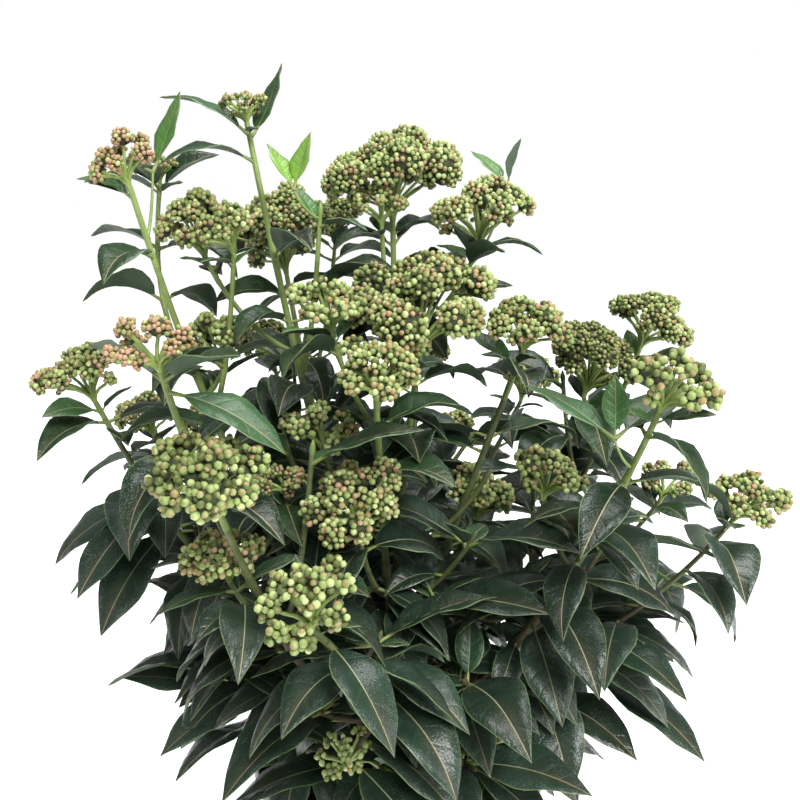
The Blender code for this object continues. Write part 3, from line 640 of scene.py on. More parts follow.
def head_shape(head, swell=0.0):
    """A head of buds: rays from one hub, each opening like a cone into a clump under a low dome."""
    width, hub, axis = head[3], head_hub(head), head_axis(head)
    count, ring_share, clump_share = next(rule[1:] for rule in HEAD_RULES if width <= rule[0])
    across = axis.orthogonal().normalized()
    shape = bmesh.new()
    half_turn = math.pi / count
    spokes = [Matrix.Rotation(half_turn * step, 3, axis) @ across for step in range(2 * count)]
    hub_ring = [shape.verts.new(hub + spoke * (HUB_RADIUS + swell)) for spoke in spokes[::2]]
    hub_top = shape.verts.new(hub + axis * HUB_RADIUS)
    hub_foot = shape.verts.new(hub - axis * HUB_DEPTH)
    for turn in range(count):
        spoke, low, high = spokes[2 * turn + 1], hub_ring[turn], hub_ring[(turn + 1) % count]
        shape.faces.new((hub_foot, high, low))
        centre = hub + axis * (HEAD_DEPTH_SHARE - RING_DROP_SHARE) * width + spoke * ring_share * width
        line = (centre - hub).normalized()
        aside = axis.cross(spoke)
        inward = line.cross(aside)
        radius = clump_share * width + swell

        def ring(sides, size, middle):
            turns = [CLUMP_TURN + math.tau * corner / sides for corner in range(sides)]
            around = [aside * math.cos(turn) + inward * math.sin(turn) for turn in turns]
            return [shape.verts.new(middle + direction * size) for direction in around]

        neck = ring(3, RAY_RADIUS + swell, centre - line * radius * CLUMP_FOOT_SHARE)
        rim = ring(6, radius, centre)
        peak = shape.verts.new(centre + line * radius * CLUMP_TOP_SHARE)
        root = (low, high, hub_top)
        for side in range(3):
            after = (side + 1) % 3
            first, middle, last = rim[2 * side], rim[2 * side + 1], rim[2 * after]
            shape.faces.new((root[side], root[after], neck[after], neck[side]))
            shape.faces.new((neck[side], middle, first))
            shape.faces.new((neck[side], neck[after], middle))
            shape.faces.new((neck[after], last, middle))
            shape.faces.new((first, middle, peak))
            shape.faces.new((middle, last, peak))
    bmesh.ops.recalc_face_normals(shape, faces=shape.faces)
    return shape


def leaf_shape(leaf, swell=0.0, start=0.0):
    """A leaf's blade: four points round its edge, and one on and one under its midrib."""
    shape = bmesh.new()
    half = LEAF_WIDTH_SHARE * leaf.length / 2 + swell
    thick = LEAF_THICKNESS / 2 + swell
    for corner in two_cones(shape, 4):
        tipward, aside, lift = corner.co
        along = (1 + tipward) / 2
        if abs(lift) > 0.5:
            along = LEAF_RIDGE
        elif abs(aside) > 0.5:
            along = LEAF_WIDEST
        reach = start + (1 - start + swell / leaf.length) * along
        corner.co = leaf.point(reach, aside * half, lift * thick)
    return shape


def stem_shape(stem, swell, start, end):
    """A stem as a row of cones, only to ask what it would touch."""
    shape = bmesh.new()
    shares = [start + (end - start) * step / TEST_PIECES for step in range(TEST_PIECES + 1)]
    for low, high in zip(shares, shares[1:]):
        first, second = stem.at(low), stem.at(high)
        turn = UP.rotation_difference((second - first).normalized()).to_matrix().to_4x4()
        bmesh.ops.create_cone(
            shape,
            cap_ends=True,
            segments=6,
            radius1=stem.radius(low) + swell,
            radius2=stem.radius(high) + swell,
            depth=(second - first).length,
            matrix=Matrix.Translation((first + second) / 2) @ turn,
        )
    return shape


def light_shape(head):
    """The space that leaves keep clear of before a head, as one prism within another."""
    toward = Vector((0, LIGHT_OUT if head[1] > LIGHT_FRONT else -LIGHT_OUT, LIGHT_UP))
    middle = head_hub(head) + head_axis(head) * HEAD_DEPTH_SHARE * head[3] + toward * LIGHT_REACH / 2
    turn = UP.rotation_difference(toward).to_matrix().to_4x4()
    shape = bmesh.new()
    for share in LIGHT_SHARES:
        radius = share * head[3]
        bmesh.ops.create_cone(
            shape,
            cap_ends=True,
            segments=8,
            radius1=radius,
            radius2=radius,
            depth=LIGHT_REACH,
            matrix=Matrix.Translation(middle) @ turn,
        )
    return shape


def probe_from(shape, owner):
    points = [corner.co for corner in shape.verts]
    centre = sum(points, Vector()) / len(points)
    reach = max((point - centre).length for point in points)
    made = Probe(owner, centre, reach, BVHTree.FromBMesh(shape))
    shape.free()
    return made


def light_probes():
    return [probe_from(light_shape(head), "light") for heads in BOUGHS.values() for head in heads]


def probe_of(item, owner):
    shape = bmesh.new()
    mesh = baked(item)
    shape.from_mesh(mesh)
    bpy.data.meshes.remove(mesh)
    return probe_from(shape, owner)


def is_clear(whole, clipped, standing):
    """Whether a shape touches nothing that stands: its root may touch the trunk and its own mass."""
    for other in standing:
        probe = clipped if other.owner in (TRUNK, whole.owner) else whole
        near = (probe.centre - other.centre).length < probe.reach + other.reach
        if near and probe.tree.overlap(other.tree):
            return False
    return True


def arching(foot, tip, foot_radius, tip_radius, swing=0.0):
    """A stem that leans out at first, swung to one side, and then rises to its tip."""
    run = tip - foot
    out = Matrix.Rotation(swing, 3, UP) @ Vector((run.x, run.y, 0)) * KNEE_OUT
    return Stem(foot, foot + out + UP * run.z * KNEE_UP, tip, foot_radius, tip_radius)


def spread(step, reach):
    """Nought, then one and minus one step, then two and minus two, up to the reach."""
    return [0.0] + [sign * step * turn for turn in range(1, reach + 1) for sign in (1, -1)]


def trunk_point(height):
    share = height / TRUNK_HEIGHT
    return Vector((TRUNK_LEAN * share * share, 0, MIX_TOP + CLEARANCE + height))


def bough_tries(heads):
    """Routes for a bough and the stem that goes on from it, the likeliest first."""
    hub = head_hub(heads[0])
    reach = math.hypot(hub.x, hub.y) / widest_reach()
    height = HIGHEST_FORK + (LOWEST_FORK - HIGHEST_FORK) * min(1.0, reach)
    if math.hypot(hub.x, hub.y) < LEADER_WITHIN:
        yield arching(trunk_point(TRUNK_HEIGHT), hub, BOUGH_RADIUS, STEM_TIP_RADIUS)
    for shift in spread(FORK_STEP, FORK_SHIFTS):
        for swing in spread(SWING, BOUGH_SWINGS):
            fork = min(HIGHEST_FORK, max(LOWEST_FORK, height + shift))
            stem = arching(trunk_point(fork), hub, BOUGH_RADIUS, STEM_TIP_RADIUS, swing)
            out = Vector((stem.knee.x - stem.foot.x, stem.knee.y - stem.foot.y, 0))
            reach = max(out.length, KNEE_LEAST_OUT)
            rise = min(stem.knee.z - stem.foot.z, reach * KNEE_STEEPEST)
            yield stem._replace(knee=stem.foot + out.normalized() * reach + UP * rise)


def side_tries(parent, tip):
    """Routes for a side shoot, from the place where it can rise to its tip most easily."""
    places = int((SIDE_HIGHEST - SIDE_LOWEST) / SIDE_STEP)
    shares = [SIDE_LOWEST + SIDE_STEP * step for step in range(places)]
    run = {share: tip - parent.at(share) for share in shares}
    shares.sort(key=lambda share: abs(run[share].z - SIDE_SLOPE * run[share].xy.length))
    for share in shares:
        root_radius = parent.radius(share) * SHOOT_ROOT_SHARE
        for swing in spread(SWING, SIDE_SWINGS):
            yield arching(parent.at(share), tip, root_radius, SHOOT_TIP_RADIUS, swing)


def leafy_tries(parent, share, turn, reach, rise):
    """Routes for a leafy shoot without flowers, fanned round the stem that bears it."""
    foot = parent.at(share)
    root_radius = parent.radius(share) * SHOOT_ROOT_SHARE
    for swing in spread(LEAFY_SWING, LEAFY_SWINGS):
        for size in LEAFY_SIZES:
            out = Vector((math.cos(turn + swing), math.sin(turn + swing), 0))
            tip = foot + (out * reach + UP * rise) * size
            yield arching(foot, tip, root_radius, SHOOT_TIP_RADIUS)


def first_clear(tries, owner, standing, root_from, clipped_from):
    """The first route that touches nothing, which then stands among the rest."""
    for stem in tries:
        root, start, end = (
            stem.further(0.0, root_from),
            stem.further(0.0, clipped_from),
            stem.further(1.0, -HUB_GAP),
        )
        whole = probe_from(stem_shape(stem, LIMB_ROOM, root, 1.0), owner)
        clipped = probe_from(stem_shape(stem, LIMB_ROOM, start, end), owner)
        if is_clear(whole, clipped, standing):
            standing.append(probe_from(stem_shape(stem, 0.0, root, 1.0), owner))
            return stem
    return None


def plan_shoots(standing):
    """Finds a clear route for every limb: gives the boughs, and the shoots of each mass."""
    boughs, masses = {}, {}
    by_reach = sorted(BOUGHS, key=lambda name: -math.hypot(BOUGHS[name][0][0], BOUGHS[name][0][1]))
    for name in by_reach:
        route = first_clear(bough_tries(BOUGHS[name]), name, standing, ROOT_TEST_FROM, BOUGH_TEST_FROM)
        boughs[name] = route._replace(end=BOUGH_SHARE)
        stem = route._replace(start=route.further(BOUGH_SHARE, BOUGH_GAP))
        masses[name] = [Shoot(stem, BOUGH_SHARE + BARE_PAST_BOUGH, BOUGHS[name][0][3])]
    for count in range(SKIRT_SHOOTS):
        name = f"skirt_{count + 1}"
        tries = skirt_tries(math.tau * (count + 0.5) / SKIRT_SHOOTS)
        route = first_clear(tries, name, standing, ROOT_TEST_FROM, BOUGH_TEST_FROM)
        if route:
            masses[name] = [Shoot(route, SKIRT_LEAFY_FROM, 0)]
    for name in by_reach:
        for head in BOUGHS[name][1:]:
            tries = side_tries(masses[name][0].stem, head_hub(head))
            add_shoot(name, masses[name], tries, standing, head[3])
    for order, name in enumerate(by_reach):
        parent = masses[name][0].stem
        outward = math.atan2(parent.tip.y, parent.tip.x)
        for share, turn, reach, rise, every in LEAFY_SHOOTS:
            if order % every == 0:
                tries = leafy_tries(parent, share, outward + math.radians(turn), reach, rise)
                add_shoot(name, masses[name], tries, standing, 0)
    return boughs, masses


def add_shoot(name, shoots, tries, standing, head_width):
    clipped_from = shoots[0].stem.foot_radius * SHOOT_TEST_RADII
    route = first_clear(tries, name, standing, 0.0, clipped_from)
    if route:
        shoots.append(Shoot(route, SHOOT_LEAFY_FROM, head_width))


def skirt_tries(turn):
    for shift in spread(SKIRT_STEP, SKIRT_SHIFTS):
        for swing in spread(SWING, SIDE_SWINGS):
            angle = turn + swing
            foot = trunk_point(SKIRT_FORK + abs(shift))
            out = Vector((math.cos(angle), math.sin(angle), 0))
            tip = foot + out * SKIRT_REACH + UP * SKIRT_RISE
            yield arching(foot, tip, SKIRT_ROOT_RADIUS, SHOOT_TIP_RADIUS)


def node_shares(shoot, label):
    """Where on a shoot's route its leaf pairs stand, from the top down."""
    rng = random.Random(f"{SEED} {label} spacing")
    shares, passed = [], 0.0
    due = BARE_UNDER_HEAD if shoot.head_width > YOUNG_HEAD else BARE_UNDER_TIP
    for step in range(ROUTE_STEPS, 0, -1):
        high, low = step / ROUTE_STEPS, (step - 1) / ROUTE_STEPS
        if low < shoot.leafy_from or len(shares) == MOST_PAIRS:
            break
        passed += (shoot.stem.at(high) - shoot.stem.at(low)).length
        if passed >= due:
            shares.append(low)
            height = height_share(shoot.stem.at(low))
            spacing = NODE_SPACING_LOW + (NODE_SPACING_HIGH - NODE_SPACING_LOW) * height
            due += spacing * rng.uniform(*NODE_SPREAD)
    return shares


def height_share(place):
    """How high a place is, from nought at the mix to one where the leaves are smallest."""
    return min(1.0, max(0.0, (place.z - MIX_TOP) / LEAF_HEIGHT_RANGE))


def leaf_tries(stem, share, turn, rng, size):
    """Poses of one leaf, the likeliest first: then turned aside, and then shorter."""
    foot = stem.at(share)
    height = height_share(foot)
    length = LEAF_LENGTH_LOW + (LEAF_LENGTH_HIGH - LEAF_LENGTH_LOW) * height
    length *= size * rng.uniform(*LEAF_SIZE_SPREAD)
    rise = LEAF_RISE_LOW + (LEAF_RISE_HIGH - LEAF_RISE_LOW) * height
    rise += rng.uniform(-1, 1) * LEAF_JITTER
    droop = LEAF_DROOP_LOW + (LEAF_DROOP_HIGH - LEAF_DROOP_LOW) * height
    droop += rng.uniform(-1, 1) * LEAF_JITTER
    roll = rng.uniform(-1, 1) * LEAF_ROLL
    turn += rng.uniform(-1, 1) * LEAF_JITTER
    for aside, shorter, lower in LEAF_TRIES:
        angle = turn + math.radians(aside)
        outward = Vector((math.cos(angle), math.sin(angle), 0))
        base = foot - outward * stem.radius(share) * LEAF_ROOT_SINK
        yield Leaf(base, outward, rise - math.radians(lower), droop, roll, length * shorter)


def standing_up(leaf, under_head):
    """A leaf of a tip's pair, which a young head above it keeps from rising too steeply."""
    rise = 0 if under_head else TIP_PAIR_RISE * height_share(leaf.base)
    return leaf._replace(rise=leaf.rise + rise, droop=leaf.droop * TIP_PAIR_DROOP_SHARE)


def in_own_space(leaf, name, axes):
    """Whether a leaf stays in the crown and nearer its own mass's stems than any other's."""
    tip = leaf.point(1, 0, 0)
    reach = math.hypot(tip.x, tip.y)
    lift = LIFT_LEFT if tip.x < 0 else LIFT_RIGHT
    lowest = MIX_TOP - LEAF_HANG + lift * max(0.0, reach - POT_RIM_RADIUS)
    if reach > CROWN_REACH or tip.z < lowest:
        return False
    furthest = min(axis.find(tip)[2] for other, axis in axes.items() if other != name)
    return axes[name].find(tip)[2] < furthest + SPACE_ALLOWANCE


def axis_tree(shoots):
    shares = [step / AXIS_STEPS for step in range(AXIS_STEPS + 1)]
    points = [shoot.stem.at(share) for shoot in shoots for share in shares]
    tree = KDTree(len(points))
    for index, point in enumerate(points):
        tree.insert(point, index)
    tree.balance()
    return tree


def plan_leaves(masses, standing):
    """Sets the leaves of every mass, the top pairs of all shoots first and then the next."""
    axes = {name: axis_tree(shoots) for name, shoots in masses.items()}
    leaves = {name: [] for name in masses}
    places = []
    for name, shoots in masses.items():
        for order, shoot in enumerate(shoots):
            for rank, share in enumerate(node_shares(shoot, f"{name} {order}")):
                places.append((rank, name, order, share))
    places.sort(key=lambda place: place[:3])
    for rank, name, order, share in places:
        shoot = masses[name][order]
        rng = random.Random(f"{SEED} {name} {order} {rank}")
        first = random.Random(f"{SEED} {name} {order}").uniform(0, math.pi) + rank * math.pi / 2
        topmost = rank == 0
        size = TOP_PAIR_SIZE if topmost and shoot.head_width else 1.0
        for turn in (first, first + math.pi):
            for leaf in leaf_tries(shoot.stem, share, turn, rng, size):
                if topmost and shoot.head_width <= YOUNG_HEAD:
                    leaf = standing_up(leaf, bool(shoot.head_width))
                whole = probe_from(leaf_shape(leaf, LEAF_ROOM), name)
                clipped = probe_from(leaf_shape(leaf, LEAF_ROOM, LEAF_PROBE_FROM), name)
                if in_own_space(leaf, name, axes) and is_clear(whole, clipped, standing):
                    standing.append(probe_from(leaf_shape(leaf), name))
                    leaves[name].append(leaf)
                    break
    return leaves


def settle(piece, nodes):
    """A finished piece rides on the plant and stands for its solids."""
    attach(piece, "root")
    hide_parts(*nodes)
    return piece


class Heap:
    """Corners and faces gathered into one joined mesh, each face with its finish."""

    def __init__(self):
        self.corners, self.faces, self.paints, self.places = [], [], [], []

    def add(self, corners, faces, paints, places=()):
        first = len(self.corners)
        self.corners.extend(corners)
        self.places.extend(places)
        self.faces.extend(tuple(first + corner for corner in face) for face in faces)
        self.paints.extend([paints] * len(faces) if isinstance(paints, int) else paints)

    def piece(self, name, finishes, slot, nodes, crease=math.radians(75)):
        mesh = bpy.data.meshes.new(name)
        mesh.from_pydata(self.corners, [], self.faces)
        for finish in finishes:
            mesh.materials.append(finish)
        mesh.polygons.foreach_set("material_index", self.paints)
        mesh.polygons.foreach_set("use_smooth", [True] * len(self.faces))
        mesh.set_sharp_from_angle(angle=crease)
        if self.places:
            layer = mesh.uv_layers.new(name="blade_place")
            order = [0] * len(mesh.loops)
            mesh.loops.foreach_get("vertex_index", order)
            layer.data.foreach_set("uv", [value for corner in order for value in self.places[corner]])
        mesh.update()
        made = bpy.data.objects.new(name, mesh)
        bpy.context.scene.collection.objects.link(made)
        return settle(made, nodes)


def tube_bits(knots, sides):
    """A tapering tube through the knots, closed at both ends."""
    corners, faces = [], []
    places = [place for place, _ in knots]
    side = (places[1] - places[0]).orthogonal().normalized()
    for index, (place, radius) in enumerate(knots):
        ahead = (places[min(index + 1, len(places) - 1)] - places[max(index - 1, 0)]).normalized()
        side = (side - ahead * side.dot(ahead)).normalized()
        other = ahead.cross(side)
        for corner in range(sides):
            turn = math.tau * corner / sides
            corners.append(place + (side * math.cos(turn) + other * math.sin(turn)) * radius)
    for ring in range(len(knots) - 1):
        for corner in range(sides):
            after = (corner + 1) % sides
            low, high = ring * sides, (ring + 1) * sides
            faces.append((low + corner, low + after, high + after, high + corner))
    faces.append(tuple(reversed(range(sides))))
    faces.append(tuple(range(len(corners) - sides, len(corners))))
    return corners, faces


def outline_at(share):
    """The blade's half width at a share of its length."""
    for (low, narrow), (high, wide) in zip(BLADE_OUTLINE, BLADE_OUTLINE[1:]):
        if share <= high:
            return narrow + (wide - narrow) * (share - low) / (high - low)
    return 0.0


def leaf_bits(leaf, flatness, rng):
    """A blade that is closed all round, with a sunken rib, arched veins and a pale margin."""
    rows = BLADE_ROWS_LARGE if leaf.length > LARGE_LEAF else BLADE_ROWS_SMALL
    sideways = UP.cross(leaf.outward)
    sway = rng.uniform(-1, 1) * BLADE_SWAY * leaf.length
    twist = rng.uniform(-1, 1) * BLADE_TWIST
    phase = rng.uniform(0, math.tau)
    fold = rng.uniform(0, BLADE_FOLD) * height_share(leaf.base) * (1 - flatness)
    bend = rng.uniform(0, BLADE_TIP_BEND) * (1 - flatness)
    widest = LEAF_WIDTH_SHARE * leaf.length / 2 * rng.uniform(*BLADE_WIDTHS)
    widest *= 1 - BLADE_NARROWER * height_share(leaf.base) * (1 - flatness)
    relief = VEIN_RELIEF * leaf.length
    corners, faces, paints, places = [], [], [], []

    def spot(row_share, across, lift):
        """Sets a corner by its row's share of the blade, its share of the half width and its height."""
        share = row_share + BLADE_SWEEP * math.sin(math.pi * row_share) * abs(across)
        swell = math.sin(math.pi * share)
        ripple = BLADE_RIPPLE * math.sin(phase + BLADE_RIPPLES * share + 1.3 * across) * swell
        height = lift + (ripple * across * across - BLADE_CURL * abs(across) ** 3 * swell) * leaf.length
        height += fold * abs(across) * outline_at(share) * widest
        height -= bend * max(0.0, share - BLADE_BENDS_FROM) ** 2 * leaf.length
        along = STALK_SHARE + (1 - STALK_SHARE) * share
        turned_leaf = leaf._replace(roll=leaf.roll + twist * share)
        place = turned_leaf.point(along, across * outline_at(share) * widest, height)
        corners.append(place + sideways * sway * share * share)
        places.append((row_share, 0.5 + 0.5 * across))
        return len(corners) - 1

    foot = spot(0, 0, 0)
    tops, unders = [], []
    for row in range(1, rows):
        share = row / rows
        half = outline_at(share) * widest
        rib = min(0.35, RIB_SHARE * leaf.length * (1 - 0.6 * share) / half)
        margin = min(0.3, MARGIN_WIDTH / half)
        vein = relief * (1 if row % 2 else -1) * half / widest
        heights = (
            (-1, 0),
            (margin - 1, 0.3 * vein),
            (-0.5, vein),
            (-rib, -RIB_DEPTH),
            (rib, -RIB_DEPTH),
            (0.5, vein),
            (1 - margin, 0.3 * vein),
            (1, 0),
        )
        top = []
        for across, lift in heights:
            raised = 0 if abs(across) == 1 else BLADE_THICKNESS / 2
            top.append(spot(share, across, lift + raised))
        under = [
            spot(share, across, lift - BLADE_THICKNESS / 2)
            for across, lift in ((-0.5, vein), (0, -RIB_DEPTH * 2), (0.5, vein))
        ]
        tops.append(top)
        unders.append([top[0], *under, top[-1]])
    tip = spot(1, 0, 0)
    for lines, finishes, turned_over in (
        (tops, (MARGIN, BLADE, BLADE, RIB, BLADE, BLADE, MARGIN), False),
        (unders, (UNDER, UNDER, UNDER, UNDER), True),
    ):
        for strip, finish_used in enumerate(finishes):
            wanted = [(foot, lines[0][strip], lines[0][strip + 1])]
            for low, high in zip(lines, lines[1:]):
                first, second, third, fourth = low[strip], high[strip], high[strip + 1], low[strip + 1]
                if 2 * strip < len(finishes) - 1:
                    wanted += [(first, second, third), (first, third, fourth)]
                else:
                    wanted += [(first, second, fourth), (second, third, fourth)]
            wanted.append((lines[-1][strip], tip, lines[-1][strip + 1]))
            faces.extend(tuple(reversed(face)) if turned_over else face for face in wanted)
            paints.extend([finish_used] * len(wanted))
    first = len(corners)
    knots = []
    for step in range(4):
        along = (STALK_SHARE + STALK_OVERLAP) * step / 3
        radius = STALK_RADIUS * (1.35 - 0.22 * step) * min(1.0, leaf.length / LARGE_LEAF)
        knots.append((leaf.point(along, 0, -radius * step / 6), radius))
    stalk_corners, stalk_faces = tube_bits(knots, STALK_SIDES)
    corners.extend(stalk_corners)
    places.extend([(0, 0.5)] * len(stalk_corners))
    faces.extend(tuple(first + corner for corner in face) for face in stalk_faces)
    paints.extend([STALK] * len(stalk_faces))
    return corners, faces, paints, places


MARGIN, BLADE, RIB, UNDER, STALK = 0, 1, 2, 3, 4


def place_below_tip(stem, distance):
    return stem.at(stem.further(1.0, -distance))


def outward_along(azimuth):
    return Vector((math.cos(math.radians(azimuth)), math.sin(math.radians(azimuth)), 0))


def without_bared(leaves, masses):
    """The planned leaves but for those at the tips of the bared shoots."""
    tips = [masses[name][order].stem.tip for name, order in BARED_TIPS]
    return [leaf for leaf in leaves if all((leaf.base - tip).length > BARED_REACH for tip in tips)]


def head_on(tip, width):
    """A head whose rays part from a tip, given as the source gives its heads."""
    place = tip
    for _ in range(3):
        place = tip + head_axis(place) * width * HEAD_DEPTH_SHARE
    return (place.x, place.y, place.z - MIX_TOP, width)


def shown_leaves(masses, standing):
    """The leaves and sprigs that stand out of the crown: gives leaves with tints, and twigs."""
    found, twigs = [], []

    def placed(foot, azimuth, rise, droop, length, tint):
        for aside in SHOWN_TURNS:
            pose = (math.radians(rise), math.radians(droop), 0)
            leaf = Leaf(foot, outward_along(azimuth + aside), *pose, length)
            probe = probe_from(leaf_shape(leaf, FILL_ROOM, SHOWN_PROBE_FROM), "shown")
            if is_clear(probe, probe, standing):
                standing.append(probe_from(leaf_shape(leaf), "shown"))
                found.append((leaf, tint))
                print("placed", tint, azimuth, rise, aside)
                return
        print("no room for", tint, azimuth, rise)

    for name, order, below, *pose in SHOWN_LEAVES:
        placed(place_below_tip(masses[name][order].stem, below), *pose)
    for name, order, below, reach, leaves in SPRIGS:
        foot = place_below_tip(masses[name][order].stem, below)
        tip = foot + Vector(reach)
        twigs.append(arching(foot, tip, SPRIG_RADIUS, SPRIG_RADIUS * 0.7))
        for pose in leaves:
            placed(tip, *pose)
    return found, twigs


def more_leaves(masses, standing):
    """Young pairs under the heads, and smaller leaves wherever the coarse ones left room."""
    axes = {name: axis_tree(shoots) for name, shoots in masses.items()}
    young, extra = [], []

    def placed(leaf, name, found):
        whole = probe_from(leaf_shape(leaf, FILL_ROOM), name)
        clipped = probe_from(leaf_shape(leaf, FILL_ROOM, LEAF_PROBE_FROM), name)
        if not in_own_space(leaf, name, axes) or not is_clear(whole, clipped, standing):
            return False
        standing.append(probe_from(leaf_shape(leaf), name))
        found.append(leaf)
        return True

    for name, shoots in masses.items():
        for order, shoot in enumerate(shoots):
            rng = random.Random(f"{SEED} young {name} {order}")
            share = shoot.stem.further(1.0, -YOUNG_BELOW_HEAD)
            foot = shoot.stem.at(share)
            first = rng.uniform(0, math.pi)
            for turn in (first, first + math.pi):
                for aside in FILL_TURNS:
                    angle = turn + math.radians(aside)
                    outward = Vector((math.cos(angle), math.sin(angle), 0))
                    pose = (rng.uniform(*YOUNG_RISE), rng.uniform(*YOUNG_DROOP), rng.uniform(-0.3, 0.3))
                    if placed(Leaf(foot, outward, *pose, rng.uniform(*YOUNG_LENGTH)), name, young):
                        break
    for size in FILL_SIZES:
        for name, shoots in masses.items():
            for order, shoot in enumerate(shoots):
                rng = random.Random(f"{SEED} fill {name} {order} {size}")
                share, turn = 1.0, rng.uniform(0, math.tau)
                while True:
                    share = shoot.stem.further(share, -FILL_SPACING * rng.uniform(0.7, 1.3))
                    if share < max(shoot.stem.start, FILL_FROM):
                        break
                    turn += GOLDEN_ANGLE
                    if rng.random() < height_share(shoot.stem.at(share)) * FILL_THINNING:
                        continue
                    for aside in FILL_TURNS:
                        tries = leaf_tries(shoot.stem, share, turn + math.radians(aside), rng, size)
                        if placed(next(tries), name, extra):
                            break
    return young, extra


def bud_template():
    """A bud one unit wide: its corners as rings from foot to tip, and its faces."""
    corners = [Vector((0, 0, BUD_FOOT))]
    for radius, height in BUD_PROFILE:
        for side in range(BUD_SIDES):
            turn = math.tau * side / BUD_SIDES
            corners.append(Vector((radius * math.cos(turn), radius * math.sin(turn), height)))
    corners.append(Vector((0, 0, BUD_TIP)))
    faces, last = [], len(corners) - 1
    for side in range(BUD_SIDES):
        after = (side + 1) % BUD_SIDES
        faces.append((0, 1 + after, 1 + side))
        for ring in range(len(BUD_PROFILE) - 1):
            low, high = 1 + ring * BUD_SIDES, 1 + (ring + 1) * BUD_SIDES
            faces.append((low + side, low + after, high + after, high + side))
        top = last - BUD_SIDES
        faces.append((top + side, top + after, last))
    return corners, faces


def clumps_of(head, swell, rng):
    """The middles and radii of the clumps of buds that make a head's low, uneven dome."""
    width, hub, axis = head[3] * swell, head_hub(head), head_axis(head)
    outer, inner = next(rule[1:] for rule in DOME_RULES if head[3] <= rule[0])
    across = axis.orthogonal().normalized()
    start, crest, tilt = rng.uniform(0, math.tau), rng.uniform(0, math.tau), rng.uniform(*DOME_TILTS)
    clumps = []
    for count, ring, drop, size in (
        (outer, DOME_RING, DOME_DROP, 1),
        (inner, DOME_INNER_RING, 0, 1),
        (outer // 2, DOME_LOW_RING, DOME_LOW_DROP, DOME_LOW_SIZE),
    ):
        for turn in range(count):
            angle = start + math.tau * turn / count + rng.uniform(-1, 1) * DOME_JITTER
            spoke = Matrix.Rotation(angle, 3, axis) @ across
            height = HEAD_DEPTH_SHARE - drop + rng.uniform(-1, 1) * DOME_UNEVEN
            height += tilt * math.cos(angle - crest) * ring / DOME_RING
            reach = ring + rng.uniform(-1, 0.6) * DOME_UNEVEN
            radius = DOME_CLUMP * width * size * rng.uniform(*DOME_SIZES)
            clumps.append((hub + (axis * height + spoke * reach) * width, radius))
        start += math.pi / max(1, inner)
    return clumps


def cap_spots(count, jitter, rng):
    """Directions spread evenly over the cap of a clump, as its angle from the middle and its turn."""
    start = rng.uniform(0, math.tau)
    spots = []
    for step in range(count):
        level = 1 - (1 - math.cos(CLUMP_CAP)) * (step + 0.5) / count
        polar = math.acos(level) + rng.uniform(-1, 1) * jitter
        spots.append((polar, start + GOLDEN_ANGLE * step + rng.uniform(-1, 1) * jitter))
    return spots


def add_head(head, swell, tint, stalks, buds, template, rng):
    """A head of buds: rays from the hub, each forking into twigs that end in tight bunches."""
    hub, axis = head_hub(head), head_axis(head)
    shares, widths = BUD_TINTS[tint]
    typical = rng.uniform(*widths)
    clumps = clumps_of(head, swell, rng)
    last = len(template[0]) - 1
    placed = []
    for centre, radius in clumps:
        line = (centre - hub).normalized()
        aside = line.orthogonal().normalized()
        inward = line.cross(aside)
        fork = centre - line * radius * FORK_BELOW
        others = [(middle, reach) for middle, reach in clumps if middle is not centre]

        def spot(polar, turn, reach):
            flat = (aside * math.cos(turn) + inward * math.sin(turn)) * math.sin(polar)
            return centre + (flat + line * math.cos(polar) * CLUMP_FLATNESS) * reach

        knee = hub + axis * (fork - hub).length * 0.45
        ray = Stem(hub - axis * 0.002, knee, fork, RAY_RADIUS * 1.25, RAY_RADIUS * 0.9)
        stalks.add(*tube_bits(ray.knots(4), 6), 0)
        surface = radius - typical * 0.4
        count = max(7, round(math.tau * surface * surface * BUD_CROWDING / (typical * typical)))
        twigs = cap_spots(max(3, round(count / BUDS_A_TWIG)), 0.08, rng)
        twig_tips = [spot(polar, turn, max(0.0012, surface - typical * 1.35)) for polar, turn in twigs]
        used = set()
        # The clump's dark core: partly its inner stalks, partly painted shade between the buds
        core = UP.rotation_difference(line).to_matrix() * 2 * (surface - typical * CORE_DEPTH)
        core_corners = [centre + core @ Vector((corner.x, corner.y, corner.z * CORE_FLATNESS)) for corner in template[0]]
        buds.add(core_corners, template[1], CORE)
        for polar, turn in cap_spots(count, 0.10, rng):
            hidden = rng.random() < BUD_INNER
            sunk = rng.uniform(0.5, 0.9) if hidden else rng.uniform(-0.25, 0.25)
            place = spot(polar, turn, surface - sunk * typical)
            if any((place - middle).length < reach * CLUMP_HIDES for middle, reach in others):
                continue
            tip = min(twig_tips, key=lambda end: (end - place).length_squared)
            place += (tip - place) * BUD_GATHER * rng.uniform(0.3, 1.0)
            width = typical * rng.uniform(*BUD_SPREAD)
            if any((place - other).length < BUD_CLOSEST * (width + wide) / 2 for other, wide in placed):
                continue
            placed.append((place, width))
            used.add(twig_tips.index(tip))
            pointing = (place - tip).normalized()
            corners, faces = template
            turned_by = UP.rotation_difference(pointing).to_matrix() * width
            # Buds sunk inside the clump take the deep finish: painted shade between the buds
            tone = SHADED_INNER_BUD if hidden else rng.choices(range(len(shares)), shares)[0]
            tipped = BLUSHED_BUD if rng.random() < BUDS_TIPPED and tone < BLUSHED_BUD else tone
            tones = [tipped if last in face else tone for face in faces]
            buds.add([place + turned_by @ corner for corner in corners], faces, tones)
            stalks.add(*tube_bits([(tip, 0.00042), (place - pointing * width * 0.4, 0.00036)], 3), 0)
        for index in sorted(used):
            stalks.add(*tube_bits([(fork, RAY_RADIUS * 0.75), (twig_tips[index], RAY_RADIUS * 0.5)], 4), 0)


